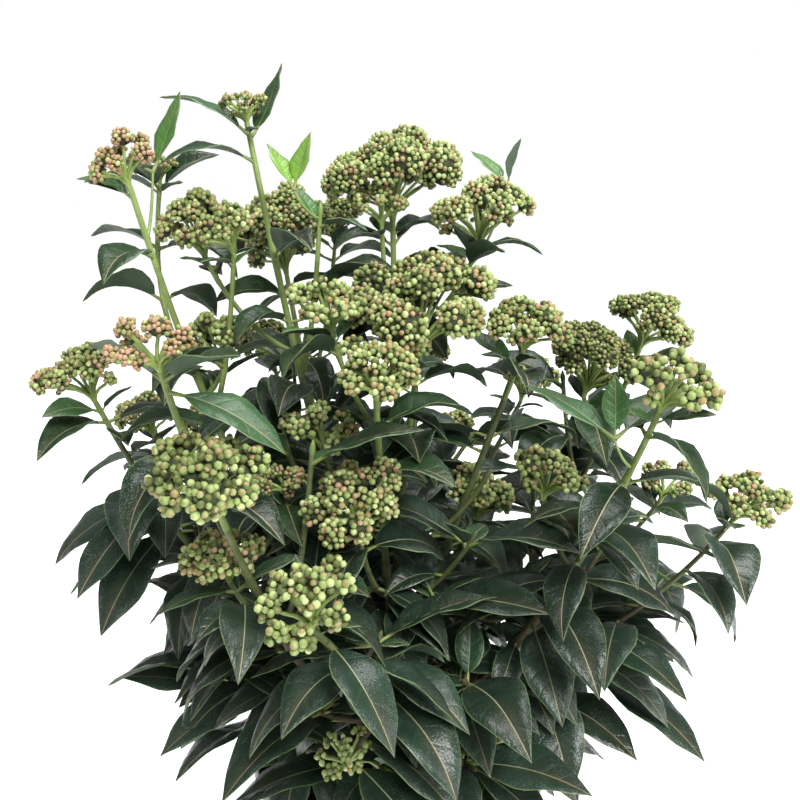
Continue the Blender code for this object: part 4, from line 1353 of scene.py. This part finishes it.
def finish(name, colour, second, roughness, drift=60.0, grain=900.0, relief=0.15, depth=0.0003, **sockets):
    """A surface whose colour drifts between two tones, with a fine grain in relief."""
    made = bpy.data.materials.new(name)
    made.use_nodes = True
    nodes, links = made.node_tree.nodes, made.node_tree.links
    shader = nodes["Principled BSDF"]
    shader.inputs["Roughness"].default_value = roughness
    for socket, value in sockets.items():
        shader.inputs[socket.replace("_", " ")].default_value = value
    place = nodes.new("ShaderNodeTexCoord")
    drifting = nodes.new("ShaderNodeTexNoise")
    drifting.inputs["Scale"].default_value = drift
    drifting.inputs["Detail"].default_value = 4.0
    links.new(place.outputs["Object"], drifting.inputs["Vector"])
    ramp = nodes.new("ShaderNodeValToRGB")
    ramp.color_ramp.elements[0].position = 0.36
    ramp.color_ramp.elements[1].position = 0.66
    ramp.color_ramp.elements[0].color = (*colour, 1)
    ramp.color_ramp.elements[1].color = (*second, 1)
    links.new(drifting.outputs["Fac"], ramp.inputs["Fac"])
    links.new(ramp.outputs["Color"], shader.inputs["Base Color"])
    grains = nodes.new("ShaderNodeTexNoise")
    grains.inputs["Scale"].default_value = grain
    grains.inputs["Detail"].default_value = 2.0
    links.new(place.outputs["Object"], grains.inputs["Vector"])
    bump = nodes.new("ShaderNodeBump")
    bump.inputs["Strength"].default_value = relief
    bump.inputs["Distance"].default_value = depth
    links.new(grains.outputs["Fac"], bump.inputs["Height"])
    links.new(bump.outputs["Normal"], shader.inputs["Normal"])
    return made


def deselect():
    bpy.ops.object.select_all(action="DESELECT")


def lathe(name, profile, sides):
    """Raises a round piece from a ring, one ring after another, and closes it at its middle."""
    deselect()
    (radius, height), rest = profile[0], profile[1:]
    bpy.ops.mesh.primitive_circle_add(vertices=sides, radius=radius, fill_type="NGON", location=(0, 0, height))
    made = bpy.context.object
    made.name = made.data.name = name
    bpy.ops.object.transform_apply(location=True, rotation=True, scale=True)
    bpy.ops.object.mode_set(mode="EDIT")
    bpy.ops.mesh.select_all(action="SELECT")
    for new_radius, new_height in rest:
        bpy.ops.mesh.extrude_region_move(TRANSFORM_OT_translate={"value": (0, 0, new_height - height)})
        share = new_radius / radius
        bpy.ops.transform.resize(value=(share, share, 1), center_override=(0, 0, new_height))
        radius, height = new_radius, new_height
    bpy.ops.mesh.select_all(action="SELECT")
    bpy.ops.mesh.normals_make_consistent(inside=False)
    bpy.ops.object.mode_set(mode="OBJECT")
    bpy.ops.object.shade_smooth_by_angle(angle=math.radians(35))
    return made


def apply_modifiers(piece):
    deselect()
    bpy.context.view_layer.objects.active = piece
    piece.select_set(True)
    for modifier in list(piece.modifiers):
        bpy.ops.object.modifier_apply(modifier=modifier.name)


def relief_on(piece, kind, size, strength):
    """Raises and sinks a piece's surface by a procedural texture."""
    texture = bpy.data.textures.new(f"{piece.name}_{kind.lower()}", kind)
    texture.noise_scale = size
    rough = piece.modifiers.new("relief", "DISPLACE")
    rough.texture = texture
    rough.texture_coords = "LOCAL"
    rough.strength = strength
    rough.mid_level = 0.5


def drawn_limb(name, knots, resolution):
    """A limb drawn as a curve through its knots and made a mesh."""
    deselect()
    bpy.ops.curve.primitive_bezier_curve_add(location=(0, 0, 0))
    made = bpy.context.object
    made.name = name
    curve = made.data
    curve.splines.clear()
    curve.bevel_depth = 1.0
    curve.bevel_resolution = resolution
    curve.use_fill_caps = True
    spline = curve.splines.new("POLY")
    spline.points.add(len(knots) - 1)
    for point, (place, radius) in zip(spline.points, knots):
        point.co = (*place, 1.0)
        point.radius = radius
    bpy.ops.object.convert(target="MESH")
    made = bpy.context.object
    bpy.ops.object.mode_set(mode="EDIT")
    bpy.ops.mesh.select_all(action="SELECT")
    bpy.ops.mesh.remove_doubles(threshold=0.000001)
    bpy.ops.mesh.normals_make_consistent(inside=False)
    bpy.ops.object.mode_set(mode="OBJECT")
    return made


def joined(name, pieces):
    deselect()
    for piece in pieces:
        piece.select_set(True)
    bpy.context.view_layer.objects.active = pieces[0]
    bpy.ops.object.join()
    made = bpy.context.object
    made.name = made.data.name = name
    return made


def painted(piece, finish_used):
    piece.data.materials.clear()
    piece.data.materials.append(finish_used)
    return piece


def make_pot(colour):
    band = POT_HEIGHT - RIM_BAND_HEIGHT
    lip = 0.0012
    profile = [
        (0.012, 0.0022),
        (0.044, 0.0018),
        (0.046, 0.0),
        (POT_FOOT_RADIUS - 0.003, 0.0),
        (POT_FOOT_RADIUS, 0.0026),
        (pot_wall_radius(0.012), 0.012),
        (pot_wall_radius(0.013) + 0.0008, 0.013),
        (pot_wall_radius(0.016) + 0.0008, 0.016),
        (pot_wall_radius(0.017), 0.017),
        (pot_wall_radius(band - 0.012), band - 0.012),
        (pot_wall_radius(band - RIM_BAND_STEP), band - RIM_BAND_STEP),
        (POT_RIM_RADIUS - 0.0006, band),
        (POT_RIM_RADIUS, band + lip),
        (POT_RIM_RADIUS, POT_HEIGHT - 2 * lip),
        (POT_RIM_RADIUS - 0.4 * lip, POT_HEIGHT - 0.6 * lip),
        (POT_RIM_RADIUS - lip, POT_HEIGHT),
        (POT_RIM_RADIUS - POT_WALL, POT_HEIGHT - 0.3 * lip),
        (POT_RIM_RADIUS - POT_WALL - 0.0012, POT_HEIGHT - lip),
        (pot_wall_radius(band) - POT_WALL, band),
        (pot_wall_radius(0.02) - POT_WALL, 0.02),
        (pot_wall_radius(POT_FLOOR) - POT_WALL, POT_FLOOR),
        (0.012, POT_FLOOR + 0.0004),
    ]
    pot = lathe("nursery_pot", profile, 96)
    drills = []
    for hole in range(DRAIN_HOLES):
        angle = math.tau * (hole + 0.5) / DRAIN_HOLES
        place = (DRAIN_CIRCLE_RADIUS * math.cos(angle), DRAIN_CIRCLE_RADIUS * math.sin(angle), 0)
        deselect()
        bpy.ops.mesh.primitive_cylinder_add(vertices=24, radius=DRAIN_HOLE_RADIUS, depth=4 * POT_FLOOR, location=place)
        drills.append(bpy.context.object)
    drill = joined("drain_drill", drills)
    drain = pot.modifiers.new("drain_holes", "BOOLEAN")
    drain.operation = "DIFFERENCE"
    drain.solver = "EXACT"
    drain.object = drill
    apply_modifiers(pot)
    bpy.data.objects.remove(drill)
    return settle(painted(pot, colour), ["pot"])


def make_mix(colour, chip_finishes):
    """The potting mix: rough ground in the pot, under shreds of composted bark."""
    edge = MIX_TOP - MIX_EDGE_DROP
    inset = POT_WALL + CLEARANCE * 1.2
    rings = 22
    outer = pot_wall_radius(edge) - inset
    profile = [(0.002, POT_FLOOR + CLEARANCE), (pot_wall_radius(POT_FLOOR) - inset, POT_FLOOR + CLEARANCE)]
    profile.append((outer, edge - 0.002))
    for ring in range(rings + 1):
        radius = outer + (0.002 - outer) * ring / rings
        drop = MIX_EDGE_DROP * max(0.0, (radius - MIX_LEVEL_RADIUS) / (outer - MIX_LEVEL_RADIUS))
        profile.append((radius, MIX_TOP - 0.0015 - drop))
    ground = lathe("potting_mix_ground", profile, 128)
    inner = ground.vertex_groups.new(name="surface")
    surface = [corner.index for corner in ground.data.vertices if corner.co.z > edge - 0.0035
               and math.hypot(corner.co.x, corner.co.y) < outer - 0.002]
    inner.add(surface, 1.0, "ADD")
    relief_on(ground, "STUCCI", 0.006, 0.0035)
    relief_on(ground, "CLOUDS", 0.002, 0.0020)
    for modifier in ground.modifiers:
        modifier.vertex_group = "surface"
    apply_modifiers(ground)
    settle(painted(ground, colour), ["potting_mix"])

    chips = Heap()
    rng = random.Random(f"{SEED} chips")
    for count in range(900):
        reach = (outer - 0.005) * math.sqrt(rng.random())
        angle = rng.uniform(0, math.tau)
        drop = MIX_EDGE_DROP * max(0.0, (reach - MIX_LEVEL_RADIUS) / (outer - MIX_LEVEL_RADIUS))
        if reach < ROOT_FLARE_RADIUS:
            continue
        length, width, thick = rng.uniform(0.003, 0.011), rng.uniform(0.0018, 0.005), rng.uniform(0.0008, 0.0022)
        place = Vector((reach * math.cos(angle), reach * math.sin(angle), MIX_TOP - drop + rng.uniform(-0.0016, 0.0004)))
        lean = Matrix.Rotation(rng.gauss(0, 0.35), 3, "X") @ Matrix.Rotation(rng.gauss(0, 0.35), 3, "Y")
        turn = Matrix.Rotation(rng.uniform(0, math.tau), 3, "Z") @ lean
        corners = []
        for top in (-1, 1):
            for x, y in ((-1, -1), (1, -1), (1, 1), (-1, 1)):
                rough = Vector((x * length * rng.uniform(0.25, 0.5), y * width * rng.uniform(0.25, 0.5), top * thick * rng.uniform(0.3, 0.5)))
                corners.append(place + turn @ rough)
        faces = [(3, 2, 1, 0), (4, 5, 6, 7), (0, 1, 5, 4), (1, 2, 6, 5), (2, 3, 7, 6), (3, 0, 4, 7)]
        chips.add(corners, faces, rng.randrange(len(chip_finishes)))
    chips.piece("bark_chips", chip_finishes, "potting_mix", ["potting_mix"], crease=math.radians(30))


def fine_knots(knots, pieces):
    """Knots set closer along the same line, eased between their neighbours."""
    fine = []
    for (first, wide), (second, narrow) in zip(knots, knots[1:]):
        for step in range(pieces):
            share = step / pieces
            fine.append((first.lerp(second, share), wide + (narrow - wide) * share))
    return [*fine, knots[-1]]


def make_limbs(boughs, bark):
    """The trunk and the boughs, with the bark's relief."""
    trunk = drawn_limb("trunk_bark", fine_knots(trunk_knots(), 10), 8)
    relief_on(trunk, "STUCCI", 0.004, 0.0012)
    relief_on(trunk, "CLOUDS", 0.0016, 0.0006)
    apply_modifiers(trunk)
    settle(painted(trunk, bark), ["trunk"])
    limbs = []
    for name, stem in boughs.items():
        limb = drawn_limb(name, stem._replace(end=stem.end + 0.02).knots(36), 4)
        relief_on(limb, "CLOUDS", 0.0022, 0.0007)
        apply_modifiers(limb)
        limbs.append(limb)
    limbs = joined("boughs_bark", limbs)
    settle(painted(limbs, bark), [f"{name}_bough" for name in boughs])
    for piece in (trunk, limbs):
        deselect()
        bpy.context.view_layer.objects.active = piece
        piece.select_set(True)
        bpy.ops.object.shade_smooth()


def swollen(knots, nodes_at):
    """The stem's knots with the slight swelling that each leaf pair stands on."""
    return [(place, radius * (1 + 0.28 * max(0.0, 1 - min([1.0, *((place - node).length / 0.004 for node in nodes_at)]))))
            for place, radius in knots]


def leading_bud(knots):
    """The small pointed bud that a stem without a head ends in."""
    (before, _), (tip, radius) = knots[-2:]
    onward = (tip - before).normalized() * LEADING_BUD
    return [(tip + onward * share, radius * wide) for share, wide in LEADING_BUD_PROFILE]


def make_stems(masses, twigs, finishes, nodes):
    """The green stems from the boughs' ends to the flower heads, and all their side shoots."""
    heap = Heap()
    for name, shoots in masses.items():
        for order, shoot in enumerate(shoots):
            rng = random.Random(f"{SEED} stem {name} {order}")
            pieces = 26 if shoot.head_width else 16
            nodes_at = [shoot.stem.at(share) for share in node_shares(shoot, f"{name} {order}")]
            knots = swollen(shoot.stem.knots(pieces), nodes_at)
            if not shoot.head_width:
                knots += leading_bud(knots)
            corners, faces = tube_bits(knots, 8)
            heights = [rng.uniform(*band) for band in STEM_BANDS]
            paints = [sum(corners[face[0]].z > height for height in heights) for face in faces]
            heap.add(corners, faces, paints)
    for twig in twigs:
        heap.add(*tube_bits(twig.knots(10), 6), len(finishes) - 1)
    return heap.piece("green_stems", finishes, "foliage", nodes)


def make_leaves(name, leaves, tints, gloss, sheen, nodes, rng):
    """A joined set of leaves, given with their tints, or with None for a tint at random."""
    heap = Heap()
    finishes = leaf_finishes(name, tints.values(), gloss, sheen)
    blades = [BLADE, *range(STALK + 1, len(finishes))]
    painted_in = dict(zip(tints, blades))
    for leaf, tint in leaves:
        corners, faces, paints, places = leaf_bits(leaf, SHOWN_FLATNESS if tint else 0, rng)
        chosen = painted_in[tint or rng.choice(list(tints))]
        heap.add(corners, faces, [chosen if paint == BLADE else paint for paint in paints], places)
    return heap.piece(name, finishes, "foliage", nodes)


def young_tint(leaf, rng):
    """Young leaves are fresh green in the light at the top and dark below."""
    if leaf.base.z < FRESH_ABOVE:
        return "dark"
    return rng.choice(("fresh", "bright", "mid", "mid"))


def lit_tint(leaf, shoots):
    """The tint of a leaf that stands up at the tip of a bare-tipped shoot high in the crown: lime, the young leaf's
    green with painted light shining through it from behind.
    """
    if leaf.base.z < FRESH_ABOVE or math.degrees(leaf.rise) < 50:
        return None
    at_tip = any(not shoot.head_width and (shoot.stem.tip - leaf.base).length < 0.012 for shoot in shoots)
    return "lime_backlit" if at_tip else None


def make_floor():
    deselect()
    bpy.ops.mesh.primitive_circle_add(vertices=96, radius=6, fill_type="NGON", location=(0, 0, 0))
    floor = bpy.context.object
    floor.name = "studio_floor"
    paper = finish("floor_paper", (0.80, 0.80, 0.80), (0.82, 0.82, 0.82), 0.9, 3.0, 40.0, 0.02)
    shader = paper.node_tree.nodes["Principled BSDF"]
    shader.inputs["Emission Color"].default_value = (1, 1, 1, 1)
    shader.inputs["Emission Strength"].default_value = FLOOR_GLOW
    painted(floor, paper)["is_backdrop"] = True


def soft_light(name, place, aim, size, watts, colour=(1, 1, 1)):
    light = bpy.data.lights.new(name, "AREA")
    light.shape = "DISK"
    light.size = size
    light.energy = watts
    light.color = colour
    made = bpy.data.objects.new(name, light)
    made.location = place
    made.rotation_euler = (Vector(aim) - Vector(place)).to_track_quat("-Z", "Y").to_euler()
    bpy.context.scene.collection.objects.link(made)


def make_studio():
    world = bpy.data.worlds.new("studio")
    bpy.context.scene.world = world
    world.use_nodes = True
    nodes, links = world.node_tree.nodes, world.node_tree.links
    shade = nodes["Background"]
    shade.inputs["Color"].default_value = (1, 1, 1, 1)
    path = nodes.new("ShaderNodeLightPath")
    bright = nodes.new("ShaderNodeMapRange")
    bright.inputs["To Min"].default_value = WORLD_LIGHT
    bright.inputs["To Max"].default_value = 1.0
    links.new(path.outputs["Is Camera Ray"], bright.inputs["Value"])
    links.new(bright.outputs["Result"], shade.inputs["Strength"])
    soft_light("key", (0.55, -1.45, 1.95), (0, 0, 0.35), 1.0, 58)
    soft_light("top", (0.3, 0.5, 2.4), (0, 0, 0.35), 1.4, 46)
    soft_light("side", (1.9, -0.8, 0.8), (0, 0, 0.30), 1.0, 12)
    camera = bpy.data.cameras.new("camera")
    camera.lens = 40
    camera.sensor_width = 36
    camera.clip_start = 0.01
    made = bpy.data.objects.new("camera", camera)
    made.location = (0, -0.56, 0.60)
    made.rotation_euler = (math.radians(90 - 15.7), 0, 0)
    bpy.context.scene.collection.objects.link(made)
    bpy.context.scene.camera = made
    bpy.context.scene.view_settings.view_transform = "Standard"


WORLD_LIGHT = 0.27
FLOOR_GLOW = 0.80


def veined(made, colour, reticulation=480.0):
    """Gives a blade's finish its arched side veins and its leathery net of small ones."""
    nodes, links = made.node_tree.nodes, made.node_tree.links
    shader = nodes["Principled BSDF"]

    def figure(operation, first, second=None, third=None):
        node = nodes.new("ShaderNodeMath")
        node.operation = operation
        for socket, value in zip(node.inputs, (first, second, third)):
            if value is None:
                continue
            if isinstance(value, (int, float)):
                socket.default_value = value
            else:
                links.new(value, socket)
        return node.outputs[0]

    place = nodes.new("ShaderNodeUVMap")
    place.uv_map = "blade_place"
    parts = nodes.new("ShaderNodeSeparateXYZ")
    links.new(place.outputs["UV"], parts.inputs["Vector"])
    aside = figure("ABSOLUTE", figure("MULTIPLY_ADD", parts.outputs["Y"], 2.0, -1.0))
    swept = figure("MULTIPLY_ADD", figure("POWER", aside, 1.3), -VEIN_SWEEP, parts.outputs["X"])
    phase = figure("FRACT", figure("MULTIPLY", swept, VEIN_COUNT))
    ridge = figure("ABSOLUTE", figure("MULTIPLY_ADD", phase, 2.0, -1.0))
    line = figure("POWER", ridge, 14.0)
    faded = figure("MULTIPLY", line, figure("SUBTRACT", 1.0, figure("POWER", aside, 4.0)))
    ramp = next(node for node in nodes if node.type == "VALTORGB")
    mix = nodes.new("ShaderNodeMix")
    mix.data_type = "RGBA"
    mix.inputs["B"].default_value = (*colour, 1)
    links.new(figure("MULTIPLY", faded, VEIN_PALENESS), mix.inputs["Factor"])
    links.new(ramp.outputs["Color"], mix.inputs["A"])
    bloom = nodes.new("ShaderNodeMix")
    bloom.data_type = "RGBA"
    bloom.inputs["B"].default_value = (*BLOOM_COLOUR, 1)
    outer = nodes.new("ShaderNodeMapRange")
    outer.inputs["From Min"].default_value = 0.35
    outer.inputs["From Max"].default_value = 0.95
    links.new(parts.outputs["X"], outer.inputs["Value"])
    inner = figure("MULTIPLY", figure("POWER", figure("SUBTRACT", 1.0, aside), 3.0), outer.outputs["Result"])
    links.new(figure("MULTIPLY", inner, BLOOM_STRENGTH), bloom.inputs["Factor"])
    links.new(mix.outputs["Result"], bloom.inputs["A"])
    # Pale specks mixed into the colour: painted glints on the glossy leaf surface
    grains = nodes.new("ShaderNodeTexNoise")
    grains.inputs["Scale"].default_value = SPECK_SCALE
    grains.inputs["Detail"].default_value = 0.0
    links.new(next(node for node in nodes if node.type == "TEX_COORD").outputs["Object"], grains.inputs["Vector"])
    specks = nodes.new("ShaderNodeMapRange")
    specks.inputs["From Min"].default_value = SPECK_FROM
    specks.inputs["From Max"].default_value = SPECK_FROM + 0.06
    specks.inputs["To Max"].default_value = SPECK_STRENGTH
    patches = nodes.new("ShaderNodeTexNoise")
    patches.inputs["Scale"].default_value = SPECK_PATCHES
    links.new(next(node for node in nodes if node.type == "TEX_COORD").outputs["Object"], patches.inputs["Vector"])
    at_edge = figure("MULTIPLY_ADD", figure("POWER", aside, 3.0), SPECK_EDGE, grains.outputs["Fac"])
    links.new(figure("MULTIPLY_ADD", patches.outputs["Fac"], SPECK_UNEVEN, at_edge), specks.inputs["Value"])
    painted_glints = nodes.new("ShaderNodeMix")
    painted_glints.data_type = "RGBA"
    painted_glints.inputs["B"].default_value = (*GLINT_SPECK_COLOUR, 1)
    links.new(specks.outputs["Result"], painted_glints.inputs["Factor"])
    links.new(bloom.outputs["Result"], painted_glints.inputs["A"])
    links.new(painted_glints.outputs["Result"], shader.inputs["Base Color"])
    net = nodes.new("ShaderNodeTexVoronoi")
    net.feature = "DISTANCE_TO_EDGE"
    net.inputs["Scale"].default_value = reticulation
    links.new(next(node for node in nodes if node.type == "TEX_COORD").outputs["Object"], net.inputs["Vector"])
    pillow = figure("MINIMUM", net.outputs["Distance"], 0.22)
    height = figure("MULTIPLY_ADD", figure("POWER", ridge, 4.0), -1.0, figure("MULTIPLY", pillow, 1.6))
    bump = nodes.new("ShaderNodeBump")
    bump.inputs["Strength"].default_value = 0.36
    bump.inputs["Distance"].default_value = 0.0005
    links.new(height, bump.inputs["Height"])
    fine = next(node for node in nodes if node.type == "BUMP" and node is not bump and node.outputs[0].is_linked)
    links.new(bump.outputs["Normal"], fine.inputs["Normal"])
    return made


def leaf_finishes(name, tints, gloss, sheen):
    """The finishes of a set of leaves: margin, blade, rib, underside and stalk, then more tints."""
    blades = [
        veined(finish(f"{name}_blade_{count + 1}", dark, light, gloss, 55.0, 1500.0, 0.30, 0.0004, Specular_IOR_Level=sheen), [1.9 * v for v in light])
        for count, (dark, light) in enumerate(tints)
    ]
    return [
        finish(f"{name}_margin", (0.085, 0.135, 0.050), (0.150, 0.210, 0.080), 0.5),
        blades[0],
        finish(f"{name}_rib", (0.20, 0.24, 0.12), (0.30, 0.28, 0.17), 0.5),
        finish(f"{name}_under", (0.042, 0.076, 0.040), (0.062, 0.102, 0.056), 0.6, 55.0, 1100.0, 0.2),
        finish(f"{name}_stalk", (0.16, 0.22, 0.06), (0.22, 0.26, 0.08), 0.45),
        *blades[1:],
    ]


def main():
    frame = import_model()
    cad = frame["nodes"]
    standing = [probe_of(cad["pot"], "pot"), probe_of(cad["potting_mix"], "pot"), probe_of(cad["trunk"], TRUNK)]
    for name, heads in BOUGHS.items():
        for head in heads:
            standing.append(probe_from(head_shape(head, LEAF_ROOM), name))
    boughs, masses = plan_shoots(standing)
    standing += light_probes()
    planned = plan_leaves(masses, list(standing))
    planned = {name: without_bared(leaves, masses) for name, leaves in planned.items()}
    side_heads = {
        (name, len(BOUGHS[name]) + order): head_on(masses[name][order].stem.tip, width)
        for name, order, width in SIDE_HEADS
    }
    for (name, _), head in side_heads.items():
        standing.append(probe_from(head_shape(head, LEAF_ROOM), name))
    for name, leaves in planned.items():
        standing += [probe_from(leaf_shape(leaf), name) for leaf in leaves]
    shown, twigs = shown_leaves(masses, standing)
    young, extra = more_leaves(masses, standing)
    foliage_nodes = [f"{name}_foliage" for name in masses]
    headed_nodes = [f"{name}_foliage" for name in BOUGHS]

    make_pot(finish("pot_plastic", (0.020, 0.021, 0.023), (0.028, 0.029, 0.031), 0.42, 30.0, 500.0, 0.08))
    make_mix(
        finish("mix_ground", (0.030, 0.017, 0.010), (0.060, 0.036, 0.021), 0.95, 220.0, 700.0, 0.6, 0.0006),
        [
            finish("chip_dark", (0.055, 0.028, 0.016), (0.085, 0.045, 0.026), 0.9, 300.0, 900.0, 0.5),
            finish("chip_brown", (0.115, 0.060, 0.033), (0.160, 0.090, 0.052), 0.9, 300.0, 900.0, 0.5),
            finish("chip_pale", (0.190, 0.115, 0.070), (0.250, 0.160, 0.105), 0.9, 300.0, 900.0, 0.5),
        ],
    )
    make_limbs(boughs, finish("bark", (0.085, 0.062, 0.038), (0.165, 0.125, 0.080), 0.8, 260.0, 900.0, 0.6, 0.0006))
    stem_finishes = [
        finish("stem_brown", (0.060, 0.050, 0.026), (0.105, 0.088, 0.045), 0.65, 200.0),
        finish("stem_olive", (0.070, 0.090, 0.028), (0.115, 0.135, 0.045), 0.5, 200.0),
        finish("stem_green", (0.125, 0.185, 0.042), (0.175, 0.235, 0.060), 0.45, 200.0),
        finish("stem_fresh", (0.190, 0.280, 0.075), (0.250, 0.330, 0.095), 0.45, 200.0),
    ]
    make_stems(masses, twigs, stem_finishes, foliage_nodes)

    mature = [leaf for name in masses for leaf in planned[name]]
    shoots = [shoot for group in masses.values() for shoot in group]
    lit = [(leaf, lit_tint(leaf, shoots)) for leaf in mature]
    fresh = [(leaf, tint) for leaf, tint in lit if tint]
    plain = [(leaf, None) for leaf, tint in lit if not tint] + [(leaf, None) for leaf in extra]
    lower = [item for item in plain if item[0].base.z < LOWER_LEAVES_BELOW]
    upper = [item for item in plain if item[0].base.z >= LOWER_LEAVES_BELOW]
    rng = random.Random(f"{SEED} leaves")
    fresh += shown + [(leaf, young_tint(leaf, rng)) for leaf in young]
    make_leaves("lower_leaves", lower, LOWER_TINTS, 0.30, 0.42, foliage_nodes, rng)
    make_leaves("upper_leaves", upper, UPPER_TINTS, 0.28, 0.26, foliage_nodes, rng)
    make_leaves("young_leaves", fresh, YOUNG_TINTS, 0.34, 0.34, foliage_nodes, rng)

    stalks, bud_heaps = Heap(), [Heap() for _ in BUD_LEVELS]
    template = bud_template()
    every_head = {(name, order): head for name, heads in BOUGHS.items() for order, head in enumerate(heads)}
    for (name, order), head in {**every_head, **side_heads}.items():
        rng = random.Random(f"{SEED} head {name} {order}")
        tint = HEAD_TINTS.get((name, order)) or rng.choice(COMMON_TINTS)
        level = next(index for index, (_, lowest) in enumerate(BUD_LEVELS) if head[2] >= lowest)
        swell = HEAD_SWELLS.get((name, order), 1)
        add_head(head, swell, tint, stalks, bud_heaps[level], template, rng)
    stalks.piece("flower_stalks", [finish("flower_stalk", (0.240, 0.330, 0.085), (0.300, 0.390, 0.115), 0.5, 250.0)], "foliage", headed_nodes)
    bud_finishes = [
        finish("bud_green", (0.195, 0.255, 0.075), (0.320, 0.390, 0.145), 0.5, 380.0, 1500.0, 0.1, Specular_IOR_Level=0.3),
        finish("bud_pale", (0.345, 0.430, 0.160), (0.490, 0.560, 0.250), 0.5, 380.0, 1500.0, 0.1, Specular_IOR_Level=0.3),
        # Deep buds: partly a darker tone of bud, partly painted shade where they sit among and under the others
        finish("bud_deep_and_shade", (0.082, 0.102, 0.030), (0.150, 0.175, 0.055), 0.5, 380.0, 1500.0, 0.1, Specular_IOR_Level=0.3),
        finish("bud_blush", (0.250, 0.190, 0.080), (0.380, 0.310, 0.145), 0.5, 380.0, 1500.0, 0.1, Specular_IOR_Level=0.3),
        finish("bud_pink", (0.360, 0.225, 0.130), (0.475, 0.330, 0.195), 0.5, 380.0, 1500.0, 0.1, Specular_IOR_Level=0.3),
        finish("bud_cream", (0.640, 0.580, 0.350), (0.720, 0.670, 0.440), 0.40, 380.0, 1500.0, 0.1),
        # The core's near-black finish is partly painted shade between the buds
        finish("bud_core_and_shade", (0.022, 0.028, 0.009), (0.045, 0.052, 0.018), 0.80, 380.0, 1500.0, 0.3),
    ]
    for (level, _), heap in zip(BUD_LEVELS, bud_heaps):
        heap.piece(f"{level}_flower_buds", bud_finishes, "foliage", headed_nodes)

    make_floor()
    make_studio()
    print("leaves", len(mature), len(extra), len(young), "buds", sum(len(heap.corners) for heap in bud_heaps) // len(template[0]))
    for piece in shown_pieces():
        piece.data.calc_loop_triangles()
        print(piece.name, len(piece.data.loop_triangles))


main()
